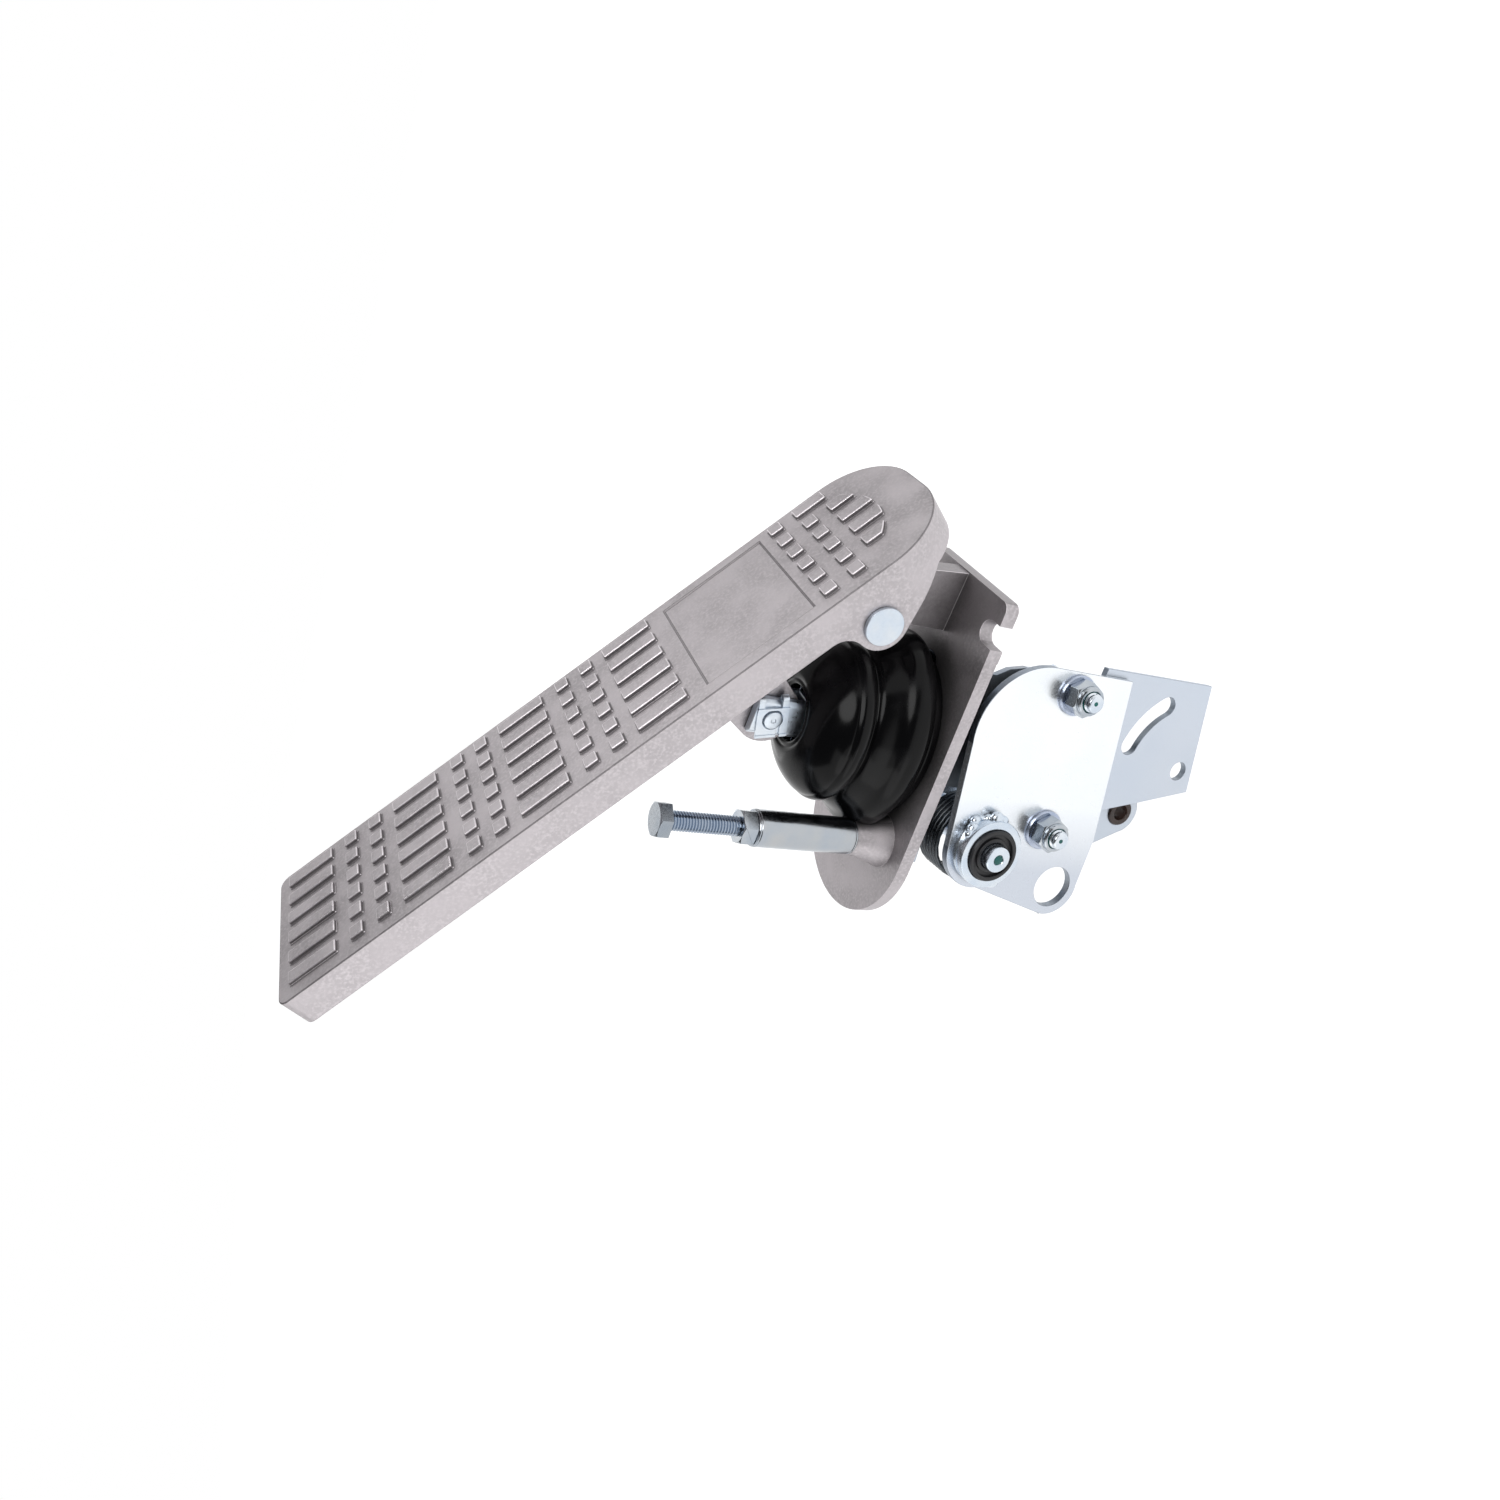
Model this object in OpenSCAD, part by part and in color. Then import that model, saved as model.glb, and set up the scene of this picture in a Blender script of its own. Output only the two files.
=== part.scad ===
// Floor-mounted accelerator pedal of a heavy vehicle: hinged treadle, cast base plate with a stop
// bolt, rubber boot over the push rod, and a plated lever bracket behind the base plate.
// X runs along the base plate toward the heel hinge, Y across it and Z away from its mounting face.

/* [Base plate] */
// Thickness of the base plate
plate_t = 6; // [4:0.5:8]
// Radius of the plate's rounded lower end
plate_end_r = 38; // [36:0.5:44]
// Distance from the hinge line to the centre of the rounded lower end
plate_end_x = 104; // [98:1:115]
// Distance from the hinge line to the plate's straight heel end
plate_top_x = 16; // [15:0.5:22]
// Half the plate's width at the heel end
plate_top_half_w = 30; // [29:0.5:34]
// Depth of the recess in the plate's back that takes the lever bracket
back_recess = 0.3; // [0.2:0.1:0.6]
// Sideways shift of the plate from the treadle's middle
plate_shift_y = -2; // [-4:0.5:1]
// Width of each open mounting notch
notch_w = 9.6; // [8:0.1:10]
// Distance from the hinge line to the middle of the notches
notch_x = 2.4; // [1:0.1:5]
// Depth of each mounting notch from the plate's long edge
notch_depth = 9.5; // [8:0.5:12]
// Diameter of the push rod opening in the plate
rod_opening_d = 46; // [42:1:50]
// Thickness of the wall that carries the hinge barrel
hinge_wall_t = 9; // [6:0.5:14]
// Outer diameter of the hinge barrel
barrel_d = 22; // [20:0.5:24]

/* [Treadle] */
// Angle of the released treadle to the base plate, in degrees
treadle_tilt = 38.8; // [36:0.1:41]
// Travel of the treadle to the stop bolt, in degrees
treadle_travel = 17.5; // [14:0.5:18]
// Height of the hinge pin above the mounting face
pivot_h = 56; // [54:0.5:58]
// Distance from the hinge pin to the treadle's free end
treadle_front = 250.7; // [245:1:270]
// Distance from the hinge pin to the treadle's heel end
treadle_heel = 42.9; // [41:0.5:46]
// Width of the treadle
treadle_w = 69.2; // [67:0.2:74]
// Height of the tread surface above the hinge pin
tread_h = 19.5; // [18.5:0.5:21]
// Depth of the treadle's side walls below the tread surface
skirt_depth = 14.3; // [12:0.1:16]
// Wall thickness of the treadle casting
treadle_wall = 4; // [3:0.25:5]
// Radius of the treadle's heel corners
heel_r = 28; // [24:0.5:32]
// Thickness of each hinge ear
ear_t = 8.3; // [7:0.1:10]
// Radius of the hinge boss on each side wall
boss_r = 10.3; // [9.5:0.1:12]
// Height of the anti-slip ribs
rib_h = 1.7; // [0.8:0.1:2]
// Width of the anti-slip ribs
rib_w = 5.8; // [4:0.1:6.4]
// Distance between the rows of ribs
rib_pitch = 10.68; // [10:0.01:11]
// Length of the short studs
stud_l = 5.6; // [4:0.1:7]
// Depth of the blank plate recess
recess_depth = 0.6; // [0.3:0.1:1]

/* [Hinge pin] */
// Diameter of the hinge pin
hinge_pin_d = 10; // [8:0.5:12]
// Diameter of the hinge pin's head
hinge_head_d = 14.8; // [14:0.1:18]
// Thickness of the hinge pin's head
hinge_head_t = 1.8; // [1:0.1:3]
// Wall of each hinge bush
hinge_bush_wall = 2; // [1.5:0.1:3]
// Length of each hinge bush
hinge_bush_l = 14; // [10:0.5:18]

/* [Stop] */
// Distance from the hinge line to the stop bolt
stop_x = 100; // [96:1:104]
// Sideways place of the stop bolt
stop_y = -20; // [-22:0.5:-18]
// Diameter of the stop sleeve
sleeve_d = 15.2; // [14:0.1:17]
// Height of the cast boss under the sleeve
stop_boss_h = 14.5; // [12:0.5:17]
// Height of the stop pad's face above the hinge pin, square to the tread
stop_pad_h = 12.2; // [11:0.1:14]
// Length of the stop bolt between its head and its lock nut
stop_thread_l = 30; // [26:0.5:31]

/* [Push rod] */
// Distance from the hinge pin to the clevis pin, toward the free end
clevis_a = 52.25; // [51:0.25:54]
// Distance from the hinge pin down to the clevis pin, square to the tread
clevis_b = 26; // [25:0.25:27]
// Side of the square forks
fork_w = 16; // [15:0.25:17]
// Slot width of the forks
fork_slot = 8; // [7:0.25:8.5]
// Depth of the fork slots below the pin
fork_depth = 14; // [13.8:0.1:15]
// Length of each fork from its pin to its threaded end
fork_l = 24; // [22:0.5:26]
// Diameter of the clevis pins
clevis_pin_d = 8; // [6:0.5:9]
// Radius of the rounded end of the treadle's lug
lug_r = 13; // [11:0.25:13.3]
// Diameter of the push rod
rod_d = 8; // [6:0.5:9]

/* [Lever bracket] */
// Turn of the lever bracket about the plate's normal, in degrees
bracket_yaw = 12; // [10:0.5:13]
// Thickness of the near side plate
side_t = 3.5; // [3:0.25:4]
// Thickness of the slotted adjuster plate
adjuster_t = 3; // [2.5:0.25:3.5]
// Thickness of the folded channel
channel_t = 3; // [2.5:0.25:3.5]
// Distance from the hinge line to the lever shaft
shaft_x = 91; // [90:0.5:92]
// Depth of the lever shaft behind the mounting face
shaft_depth = 25; // [24.5:0.25:26]
// Diameter of the lever shaft
shaft_d = 10.5; // [9:0.25:11]
// Outer diameter of the shaft bushes
shaft_bush_d = 19.5; // [17:0.25:20]
// Outer diameter of the welded bearing rings
ring_d = 29; // [27:0.5:31]
// Width of the welded bearing rings
ring_w = 6; // [5:0.5:7]
// Thickness of the input lever
lever_t = 6.8; // [5:0.1:6.8]
// Radius of the input lever's hub
lever_hub_r = 11; // [9:0.5:13]
// Wire diameter of the return spring
spring_wire = 2.2; // [1.6:0.1:2.4]
// Outer radius of the return spring
spring_r = 18; // [16:0.5:18.5]
// Number of turns of the return spring
spring_turns = 6; // [4:1:6]

/* [Boot] */
// Radius of the boot's lower bulge
boot_r = 38; // [37:0.25:40]
// Radius of the boot's upper bulge
boot_upper_r = 33; // [31:0.5:35]
// Wall of the boot
boot_wall = 1.8; // [1.2:0.1:2.2]
// Thickness of the boot's foot
boot_foot_t = 2.5; // [2:0.25:3]

/* [Fits] */
// Radial running clearance of the pins and the shaft
run_fit = 0.05; // [0.03:0.01:0.09]
// Radial clearance of the bolts in their holes
bolt_fit = 0.25; // [0.15:0.05:0.5]
// Gap between parts that pass one another
pass_gap = 0.3; // [0.2:0.05:0.5]

/* [Hidden] */
$fn = 64;

// Standard hardware
m8_d = 8;
m8_af = 13;
m8_head_t = 5.3;
m8_nut_t = 6.5;
nyloc_t = 8;
washer_d = 17;
washer_t = 1.6;
screw_d = 6;
screw_head_d = 11;
screw_sink_h = 2.7;
clip_t = 0.8;

// Treadle, in its own frame: X toward the heel and Z square to the tread, from the hinge pin
skirt_z = tread_h - skirt_depth;
half_w = treadle_w / 2;
ear_x = 28.5;
ear_fillet_r = 9;
boss_inner_y = half_w - ear_t;
barrel_l = 2 * (boss_inner_y - pass_gap);
rib_y0 = -25.4;
rib_x0 = 5.6 - treadle_front;
long_rib_l = 21.1;
long_rib_x = [0, 51.3, 103, 154];
stud_x = [27.6, 39.4, 79.7, 91.3, 131, 142.5, 234.1];
heel_row_x = [0.8, 12.2];
heel_last_l = 13.6;
heel_arc_at = [-2.9, 1.1];
heel_arc_r = 28.8;
heel_slant_w = 3.4;
recess_x = [-62, -16];
recess_y = [-28, 29.5];
lug_t = fork_slot - 2 * pass_gap;
lug_root_r = lug_r + 3;
under_z = tread_h - treadle_wall + 0.5;

// Clevis pins, in the plate's frame
pressed_tilt = treadle_tilt - treadle_travel;
clevis_x = -clevis_a * cos(treadle_tilt) - clevis_b * sin(treadle_tilt);
clevis_z = pivot_h + clevis_a * sin(treadle_tilt) - clevis_b * cos(treadle_tilt);
pressed_z = pivot_h + clevis_a * sin(pressed_tilt) - clevis_b * cos(pressed_tilt);

// Stop, from the mounting face up: its height follows from the pressed treadle's pad
stop_boss_r = 12;
stop_boss_top_r = sleeve_d / 2 - 0.3;
sleeve_z = plate_t + stop_boss_h;
stop_pad_a = -(stop_x + stop_pad_h * sin(pressed_tilt)) / cos(pressed_tilt);
stop_face_z = pivot_h - stop_pad_a * sin(pressed_tilt) + stop_pad_h * cos(pressed_tilt) - pass_gap;
stop_head_z = stop_face_z - m8_head_t;
stop_nut_z = stop_head_z - stop_thread_l - m8_nut_t;
sleeve_l = stop_nut_z - sleeve_z;
stop_bolt_end = sleeve_z + m8_d;
stop_pad_half = 9;

// The mounting face is the heel end of the plate's back, as far as this distance below the hinge
floor_face_x = 7.6;

// Lever bracket, in its own turned frame
near_y = -27;
adjuster_y = near_y + side_t;
spacer_y = adjuster_y + adjuster_t;
cheek_y = -16;
far_y = 24;
shaft_z = -shaft_depth;
lever_y = -clevis_x * sin(bracket_yaw);
lever_reach = clevis_x * cos(bracket_yaw) + shaft_x;
lever_rise = (clevis_z - pressed_z) / 2;
lever_l = sqrt(lever_reach * lever_reach + lever_rise * lever_rise);
lever_angle = atan(lever_rise / lever_reach);
lower_pin_z = shaft_z + lever_rise;
lever_tip_r = 9.2;
slot_shift = 1.2;
slot_play = 1.6;
slot_fit = 0.5;
bolt_upper_at = [-21.5, -46];
bolt_lower_at = [-80, -52];
window_at = [-105.6, -67.5];
window_d = 18.4;
cheek_lug_at = [-72.5, -102];
cheek_lug_d = 12;
lug_bore_d = 7;
lug_bush_l = 9;
adjuster_hole_at = [-48.2, -119.2];
adjuster_hole_d = 8.4;
adjuster_slot_r = 33.7;
adjuster_slot_w = 8.5;
adjuster_slot_turn = [35, 75.5];
web_heel_x = -12.5;
web_toe_x = -104;
far_cheek_z = -14;
cheek_heel_x = -16;
cheek_root_x = [-70, -21];
function cheek_points(root_z) = [[cheek_root_x[1], root_z], [cheek_root_x[1], -13.5], [-17.8, -19],
    [cheek_heel_x, -27], [cheek_heel_x, -66], [-65.5, -109], [-81, -107], [-90, -90], [-92, -58],
    [-86, -47], [cheek_root_x[0], -40], [cheek_root_x[0], root_z]];
adjuster_points = [[-13.5, -36], [-13.5, -61], [-9.1, -61.5], [-8.4, -121], [-57.3, -128.5],
    [-65.1, -101.7], [-70, -84], [-90, -61], [-89, -47], [-70, -38]];
spring_y0 = spacer_y + 2 * pass_gap;
spring_pitch = spring_wire + 0.15;
spring_leg_l = 38;
spring_leg_lean = 3.4;
screw_heel_at = [-25, 4];
screw_toe_at = [-92, 19];

module in_treadle() {
    translate([0, 0, pivot_h]) rotate([0, treadle_tilt, 0]) children();
}

module in_bracket() {
    rotate([0, 0, bracket_yaw]) children();
}

// A flat shape drawn in X and Z and given its thickness along Y
module slab(y0, t) {
    translate([0, y0 + t, 0]) rotate([90, 0, 0]) linear_extrude(t) children();
}

module rod_y(r, y0, y1) {
    translate([0, y1, 0]) rotate([90, 0, 0]) cylinder(r = r, h = y1 - y0);
}

module hex_y(y0, y1) {
    translate([0, y1, 0]) rotate([90, 0, 0]) cylinder(d = m8_af / cos(30), h = y1 - y0, $fn = 6);
}

// Base plate

module plate_outline() {
    corner = 4;
    side_x = plate_top_x - corner;
    lean = asin((plate_end_r - plate_top_half_w) / (plate_end_x + side_x));
    round_x = plate_end_r * sin(lean) - plate_end_x;
    round_y = plate_end_r * cos(lean);
    translate([0, plate_shift_y]) {
        translate([-plate_end_x, 0]) circle(r = plate_end_r, $fn = 96);
        polygon([[round_x, round_y], [side_x, plate_top_half_w], [side_x, -plate_top_half_w],
            [round_x, -round_y]]);
        translate([side_x - 1, corner - plate_top_half_w])
            square([corner + 1, 2 * (plate_top_half_w - corner)]);
        for (s = [-1, 1]) translate([side_x, s * (plate_top_half_w - corner)]) circle(r = corner);
    }
}

// An open notch for a mounting bolt, from the plate's long edge inward
module notch(side) {
    end_y = plate_top_half_w - notch_depth + notch_w / 2;
    translate([notch_x, plate_shift_y + side * end_y, -1]) {
        cylinder(d = notch_w, h = plate_t + 2);
        translate([-notch_w / 2, side > 0 ? 0 : -notch_depth - 6, 0])
            cube([notch_w, notch_depth + 6, plate_t + 2]);
    }
}

// The wall stands on the plate and carries the hinge barrel, with a stiffening web on its far side
module hinge_wall() {
    foot_x = -10;
    step = 0.6;
    web_x = -2;
    web_w = 5;
    web_l = 20;
    slab(plate_shift_y, hinge_wall_t)
        polygon([[foot_x, plate_t - 1], [plate_top_x - step, plate_t - 1], [barrel_d / 2 - step, pivot_h],
            [step - barrel_d / 2, pivot_h]]);
    translate([web_x, plate_shift_y + 1, plate_t - 1]) cube([web_w, web_l, pivot_h - plate_t + 1]);
}

module base_plate() {
    color("#a29b9c") difference() {
        union() {
            linear_extrude(plate_t) plate_outline();
            hinge_wall();
            translate([0, 0, pivot_h]) rod_y(barrel_d / 2, -barrel_l / 2, barrel_l / 2);
            translate([-stop_x, stop_y, plate_t - 0.5])
                cylinder(r1 = stop_boss_r, r2 = stop_boss_top_r, h = stop_boss_h + 0.5);
        }
        translate([0, 0, pivot_h]) {
            rod_y(hinge_pin_d / 2 + 0.6, -barrel_l, barrel_l);
            rod_y(hinge_pin_d / 2 + hinge_bush_wall, -barrel_l, hinge_bush_l - barrel_l / 2);
            rod_y(hinge_pin_d / 2 + hinge_bush_wall, barrel_l / 2 - hinge_bush_l, barrel_l);
        }
        for (s = [-1, 1]) notch(s);
        translate([clevis_x, 0, -1]) cylinder(d = rod_opening_d, h = plate_t + 2);
        translate([-2 * plate_end_x, -plate_end_x, -1])
            cube([2 * plate_end_x - floor_face_x, 2 * plate_end_x, 1 + back_recess]);
        in_bracket() for (p = [screw_heel_at, screw_toe_at]) translate([p[0], p[1], 0]) {
            translate([0, 0, -1]) cylinder(r = screw_d / 2 + bolt_fit, h = plate_t + 2);
            translate([0, 0, plate_t - screw_sink_h])
                cylinder(r1 = screw_d / 2, r2 = screw_head_d / 2 + 0.2, h = screw_sink_h);
        }
    }
}

// Treadle

module treadle_outline(inset) {
    corner_x = treadle_heel - heel_r;
    corner_y = half_w - heel_r;
    r = heel_r - inset;
    front_r = max(0.5, 4 - inset);
    front_x = inset + front_r - treadle_front;
    for (s = [-1, 1]) {
        translate([corner_x, s * corner_y]) circle(r = r, $fn = 96);
        translate([front_x, s * (half_w - inset - front_r)]) circle(r = front_r);
    }
    translate([corner_x - 1, -corner_y]) square([r + 1, 2 * corner_y]);
    translate([front_x, inset - half_w]) square([corner_x - front_x, treadle_w - 2 * inset]);
    translate([front_x - front_r, inset + front_r - half_w])
        square([2 * front_r, treadle_w - 2 * (inset + front_r)]);
}

// Side view of the treadle's walls, with the ear round the hinge pin
module treadle_side() {
    tangent = atan2(skirt_z, ear_x) - acos(boss_r / norm([ear_x, skirt_z]));
    fillet_z = skirt_z - ear_fillet_r;
    fillet_x = -sqrt(pow(boss_r + ear_fillet_r, 2) - fillet_z * fillet_z);
    touch = boss_r / (boss_r + ear_fillet_r);
    translate([-treadle_front - 1, skirt_z]) square([treadle_front + treadle_heel + 2, skirt_depth]);
    circle(r = boss_r);
    polygon([[0, 0], [boss_r * cos(tangent), boss_r * sin(tangent)], [ear_x, skirt_z], [0, skirt_z]]);
    difference() {
        polygon([[0, 0], [0, skirt_z], [fillet_x, skirt_z], [fillet_x * touch, fillet_z * touch]]);
        translate([fillet_x, fillet_z]) circle(r = ear_fillet_r);
    }
}

module treadle_lug() {
    slab(-lug_t / 2, lug_t) {
        translate([-clevis_a, -clevis_b]) circle(r = lug_r);
        polygon([[-clevis_a - lug_r, -clevis_b], [-clevis_a - lug_root_r, under_z],
            [-clevis_a + lug_root_r, under_z], [-clevis_a + lug_r, -clevis_b]]);
    }
}

// The pad's face meets the stop bolt's head squarely at the end of the travel
module stop_pad() {
    half = stop_pad_half;
    rise = half * tan(pressed_tilt);
    slab(stop_y - half, 2 * half)
        polygon([[stop_pad_a - half, stop_pad_h - rise], [stop_pad_a + half, stop_pad_h + rise],
            [stop_pad_a + half, max(under_z, stop_pad_h + rise + 0.5)], [stop_pad_a - half, under_z]]);
}

// A raised bar whose length runs from the given point, in the tread's plane
module bar(x, y, l, turn, w = rib_w) {
    translate([x, y, tread_h - 0.5]) rotate([0, 0, turn]) translate([0, -w / 2, 0])
        cube([l, w, rib_h + 0.5]);
}

// Four bars whose far ends follow the round of the heel
module heel_bars() {
    translate([0, 0, tread_h - 0.5]) linear_extrude(rib_h + 0.5) intersection() {
        union() for (i = [1 : 4]) translate([heel_row_x[1], rib_y0 + i * rib_pitch - rib_w / 2])
            square([heel_arc_r, rib_w]);
        translate(heel_arc_at) circle(r = heel_arc_r);
    }
}

module tread_pattern() {
    for (i = [0 : 5], x = long_rib_x) bar(rib_x0 + x, rib_y0 + i * rib_pitch, long_rib_l, 0);
    for (i = [0 : 5], x = stud_x) bar(rib_x0 + x, rib_y0 + i * rib_pitch, stud_l, 0);
    for (i = [0 : 4]) bar(heel_row_x[0], rib_y0 + i * rib_pitch, stud_l, 0);
    bar(heel_row_x[0], rib_y0 + 5 * rib_pitch, heel_last_l, 0);
    bar(5.2, -26.9, 10.1, 33, heel_slant_w);
    heel_bars();
}

module treadle() {
    color("#aaa3a4") in_treadle() difference() {
        union() {
            difference() {
                intersection() {
                    translate([0, 0, -boss_r - 1]) linear_extrude(tread_h + boss_r + 1) treadle_outline(0);
                    slab(-half_w - 1, treadle_w + 2) treadle_side();
                }
                translate([0, 0, -boss_r - 2]) linear_extrude(tread_h - treadle_wall + boss_r + 2)
                    treadle_outline(treadle_wall);
            }
            for (y0 = [boss_inner_y, 1 - half_w]) rod_y(boss_r, y0, y0 + ear_t - 1);
            treadle_lug();
            stop_pad();
            tread_pattern();
        }
        translate([recess_x[0], recess_y[0], tread_h - recess_depth])
            cube([recess_x[1] - recess_x[0], recess_y[1] - recess_y[0], 2]);
        rod_y(hinge_pin_d / 2, -half_w - 1, half_w + 1);
        translate([-clevis_a, 0, -clevis_b]) rod_y(clevis_pin_d / 2 + run_fit, -lug_t, lug_t);
    }
}

module hinge_pin() {
    color("#dfe6ec") translate([0, 0, pivot_h]) difference() {
        union() {
            rod_y(hinge_pin_d / 2, -half_w, half_w + 4);
            rod_y(hinge_head_d / 2, -half_w - hinge_head_t, -half_w);
        }
        difference() {
            rod_y(hinge_pin_d, half_w + 1, half_w + 2.2);
            rod_y(hinge_pin_d / 2 - 0.8, half_w, half_w + 3);
        }
    }
}

module hinge_clip() {
    color("#9aa0a4") translate([0, 0, pivot_h]) difference() {
        rod_y(hinge_pin_d / 2 + 3, half_w + 1.1, half_w + 2.1);
        rod_y(hinge_pin_d / 2 - 0.8, half_w, half_w + 3);
        translate([-2.5, half_w, -12]) cube([5, 4, 10]);
    }
}

module hinge_bush(side) {
    color("#b08d57") translate([0, 0, pivot_h]) {
        y0 = side > 0 ? barrel_l / 2 - hinge_bush_l : -barrel_l / 2;
        difference() {
            rod_y(hinge_pin_d / 2 + hinge_bush_wall, y0, y0 + hinge_bush_l);
            rod_y(hinge_pin_d / 2 + run_fit, y0 - 1, y0 + hinge_bush_l + 1);
        }
    }
}

// Stop

module stop_sleeve() {
    color("#c9cdd1") translate([-stop_x, stop_y, sleeve_z]) difference() {
        cylinder(d = sleeve_d, h = sleeve_l);
        translate([0, 0, -1]) cylinder(d = m8_d, h = sleeve_l + 2);
    }
}

module stop_nut() {
    color("#cfd6dd") translate([-stop_x, stop_y, stop_nut_z]) difference() {
        cylinder(d = m8_af / cos(30), h = m8_nut_t, $fn = 6);
        translate([0, 0, -1]) cylinder(d = m8_d, h = m8_nut_t + 2);
    }
}

module stop_bolt() {
    color("#aeb8c6") translate([-stop_x, stop_y, 0]) {
        translate([0, 0, stop_bolt_end]) cylinder(d = m8_d, h = stop_head_z - stop_bolt_end);
        translate([0, 0, stop_head_z]) cylinder(d = m8_af / cos(30), h = m8_head_t, $fn = 6);
    }
}

// Boot

boot_fold_r = [13, 12.5];
boot_fold_z = [plate_t + 13, plate_t + 37];
boot_mouth_r = boot_r - boot_fold_r[0];

function arc(cx, cz, r, a0, a1) = [
    for (i = [0 : 12]) let (a = a0 + (a1 - a0) * i / 12) [cx + r * cos(a), cz + r * sin(a)]
];

// The side of the boot at a depth t below its skin: an arc for the lower bulge, then the upper one
function boot_side(t) = concat(arc(boot_mouth_r, boot_fold_z[0], boot_fold_r[0] - t, -55, 70),
    arc(boot_upper_r - boot_fold_r[1], boot_fold_z[1], boot_fold_r[1] - t, -70, 105));

function reversed(v) = [for (i = [len(v) - 1 : -1 : 0]) v[i]];

module rubber_boot() {
    neck_r = 7 + pass_gap;
    neck_z = clevis_z - fork_w - 3;
    neck_lip = 2.5;
    lip_h = 3;
    foot_r = 34;
    foot_x = 9;
    color("#151515") translate([clevis_x, 0, 0]) {
        rotate_extrude($fn = 72) polygon(concat([[boot_mouth_r + 4, plate_t + boot_foot_t - 0.2]],
            boot_side(0), [[neck_r + neck_lip, neck_z], [neck_r, neck_z], [neck_r, neck_z - lip_h],
            [neck_r + neck_lip, neck_z - lip_h]], reversed(boot_side(boot_wall)),
            [[boot_mouth_r, plate_t + boot_foot_t - 0.2]]));
        translate([0, 0, plate_t]) linear_extrude(boot_foot_t) difference() {
            union() {
                for (s = [-1, 1]) translate([s * foot_x, 0]) circle(r = foot_r);
                square([2 * foot_x, 2 * foot_r], center = true);
            }
            circle(r = boot_mouth_r);
            translate([-stop_x - clevis_x, stop_y]) circle(r = stop_boss_r + 0.5);
        }
    }
}

// Push rod

// A square fork with its pin at the origin and its threaded end down
module fork() {
    difference() {
        union() {
            intersection() {
                translate([-fork_w / 2, -fork_w / 2, -fork_w]) cube([fork_w, fork_w, fork_w + 8]);
                translate([0, 0, -fork_w]) cylinder(d = fork_w * 1.26, h = fork_w + 8);
            }
            translate([0, 0, -fork_l]) cylinder(d = 14, h = fork_l - fork_w + 1);
        }
        translate([-fork_w, -fork_slot / 2, -fork_depth]) cube([2 * fork_w, fork_slot, fork_w + 20]);
        rod_y(clevis_pin_d / 2, -fork_w, fork_w);
        translate([0, 0, -fork_l - 1]) cylinder(d = rod_d, h = fork_l - fork_depth + 2);
    }
}

module fork_pin() {
    difference() {
        union() {
            rod_y(clevis_pin_d / 2, -fork_w / 2 - 2.6, fork_w / 2);
            rod_y(clevis_pin_d / 2 + 2, fork_w / 2, fork_w / 2 + 2);
        }
        difference() {
            rod_y(clevis_pin_d, -fork_w / 2 - clip_t, -fork_w / 2);
            rod_y(clevis_pin_d / 2 - 0.6, -fork_w, 0);
        }
    }
}

// A spring clip that holds the pin, with a lip over each side of the fork
module fork_clip() {
    clip_w = fork_w - 0.5;
    clip_h = 13.5;
    difference() {
        union() {
            translate([-clip_w / 2, -fork_w / 2 - clip_t, -clip_h / 2 - 1.5])
                cube([clip_w, clip_t, clip_h]);
            for (s = [-1, 1]) translate([s * clip_w / 3, 0, clip_h / 2 - 1.5])
                rod_y(1.2, -fork_w / 2 - 2 * clip_t, -fork_w / 2);
        }
        rod_y(clevis_pin_d / 2 - 0.6, -fork_w, 0);
        translate([0.8, -fork_w, -clip_h]) cube([1.6, fork_w, clip_h - 3]);
    }
}

module at_upper_pin() {
    translate([clevis_x, 0, clevis_z]) children();
}

module at_lower_pin() {
    translate([clevis_x, 0, lower_pin_z]) rotate([0, 0, bracket_yaw]) mirror([0, 0, 1]) children();
}

module push_rod() {
    low = lower_pin_z + fork_depth + 1;
    color("#b9c0c6") translate([clevis_x, 0, low]) cylinder(d = rod_d, h = clevis_z - fork_depth - 1 - low);
}

module rod_nut(z) {
    color("#cfd6dd") translate([clevis_x, 0, z]) difference() {
        cylinder(d = m8_af / cos(30), h = m8_nut_t, $fn = 6);
        translate([0, 0, -1]) cylinder(d = rod_d, h = m8_nut_t + 2);
    }
}

// Lever shaft, in the bracket's frame

module at_shaft() {
    in_bracket() translate([-shaft_x, 0, shaft_z]) children();
}

module lever_shaft() {
    color("#e4e9ee") at_shaft() rod_y(shaft_d / 2, near_y - 11.5, far_y + channel_t + ring_w + 2);
}

module input_lever() {
    color("#b9c0c6") at_shaft() rotate([0, -lever_angle, 0]) difference() {
        union() {
            slab(lever_y - lever_t / 2, lever_t) {
                circle(r = lever_hub_r);
                translate([lever_l - slot_shift, 0]) circle(r = lever_tip_r);
                polygon([[0, lever_hub_r], [lever_l, lever_tip_r - 0.4], [lever_l, 0.4 - lever_tip_r],
                    [0, -lever_hub_r]]);
            }
            rod_y(lever_hub_r - 1.5, lever_y - lever_t / 2 - 3, lever_y + lever_t / 2 + 2);
        }
        rod_y(shaft_d / 2, -far_y, far_y);
        for (s = [-1, 1]) translate([lever_l - slot_shift + s * slot_play, 0, 0])
            rod_y(clevis_pin_d / 2 + slot_fit, -far_y, far_y);
        translate([lever_l - slot_shift - slot_play, -far_y, -clevis_pin_d / 2 - slot_fit])
            cube([2 * slot_play, 2 * far_y, clevis_pin_d + 2 * slot_fit]);
    }
}

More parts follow.
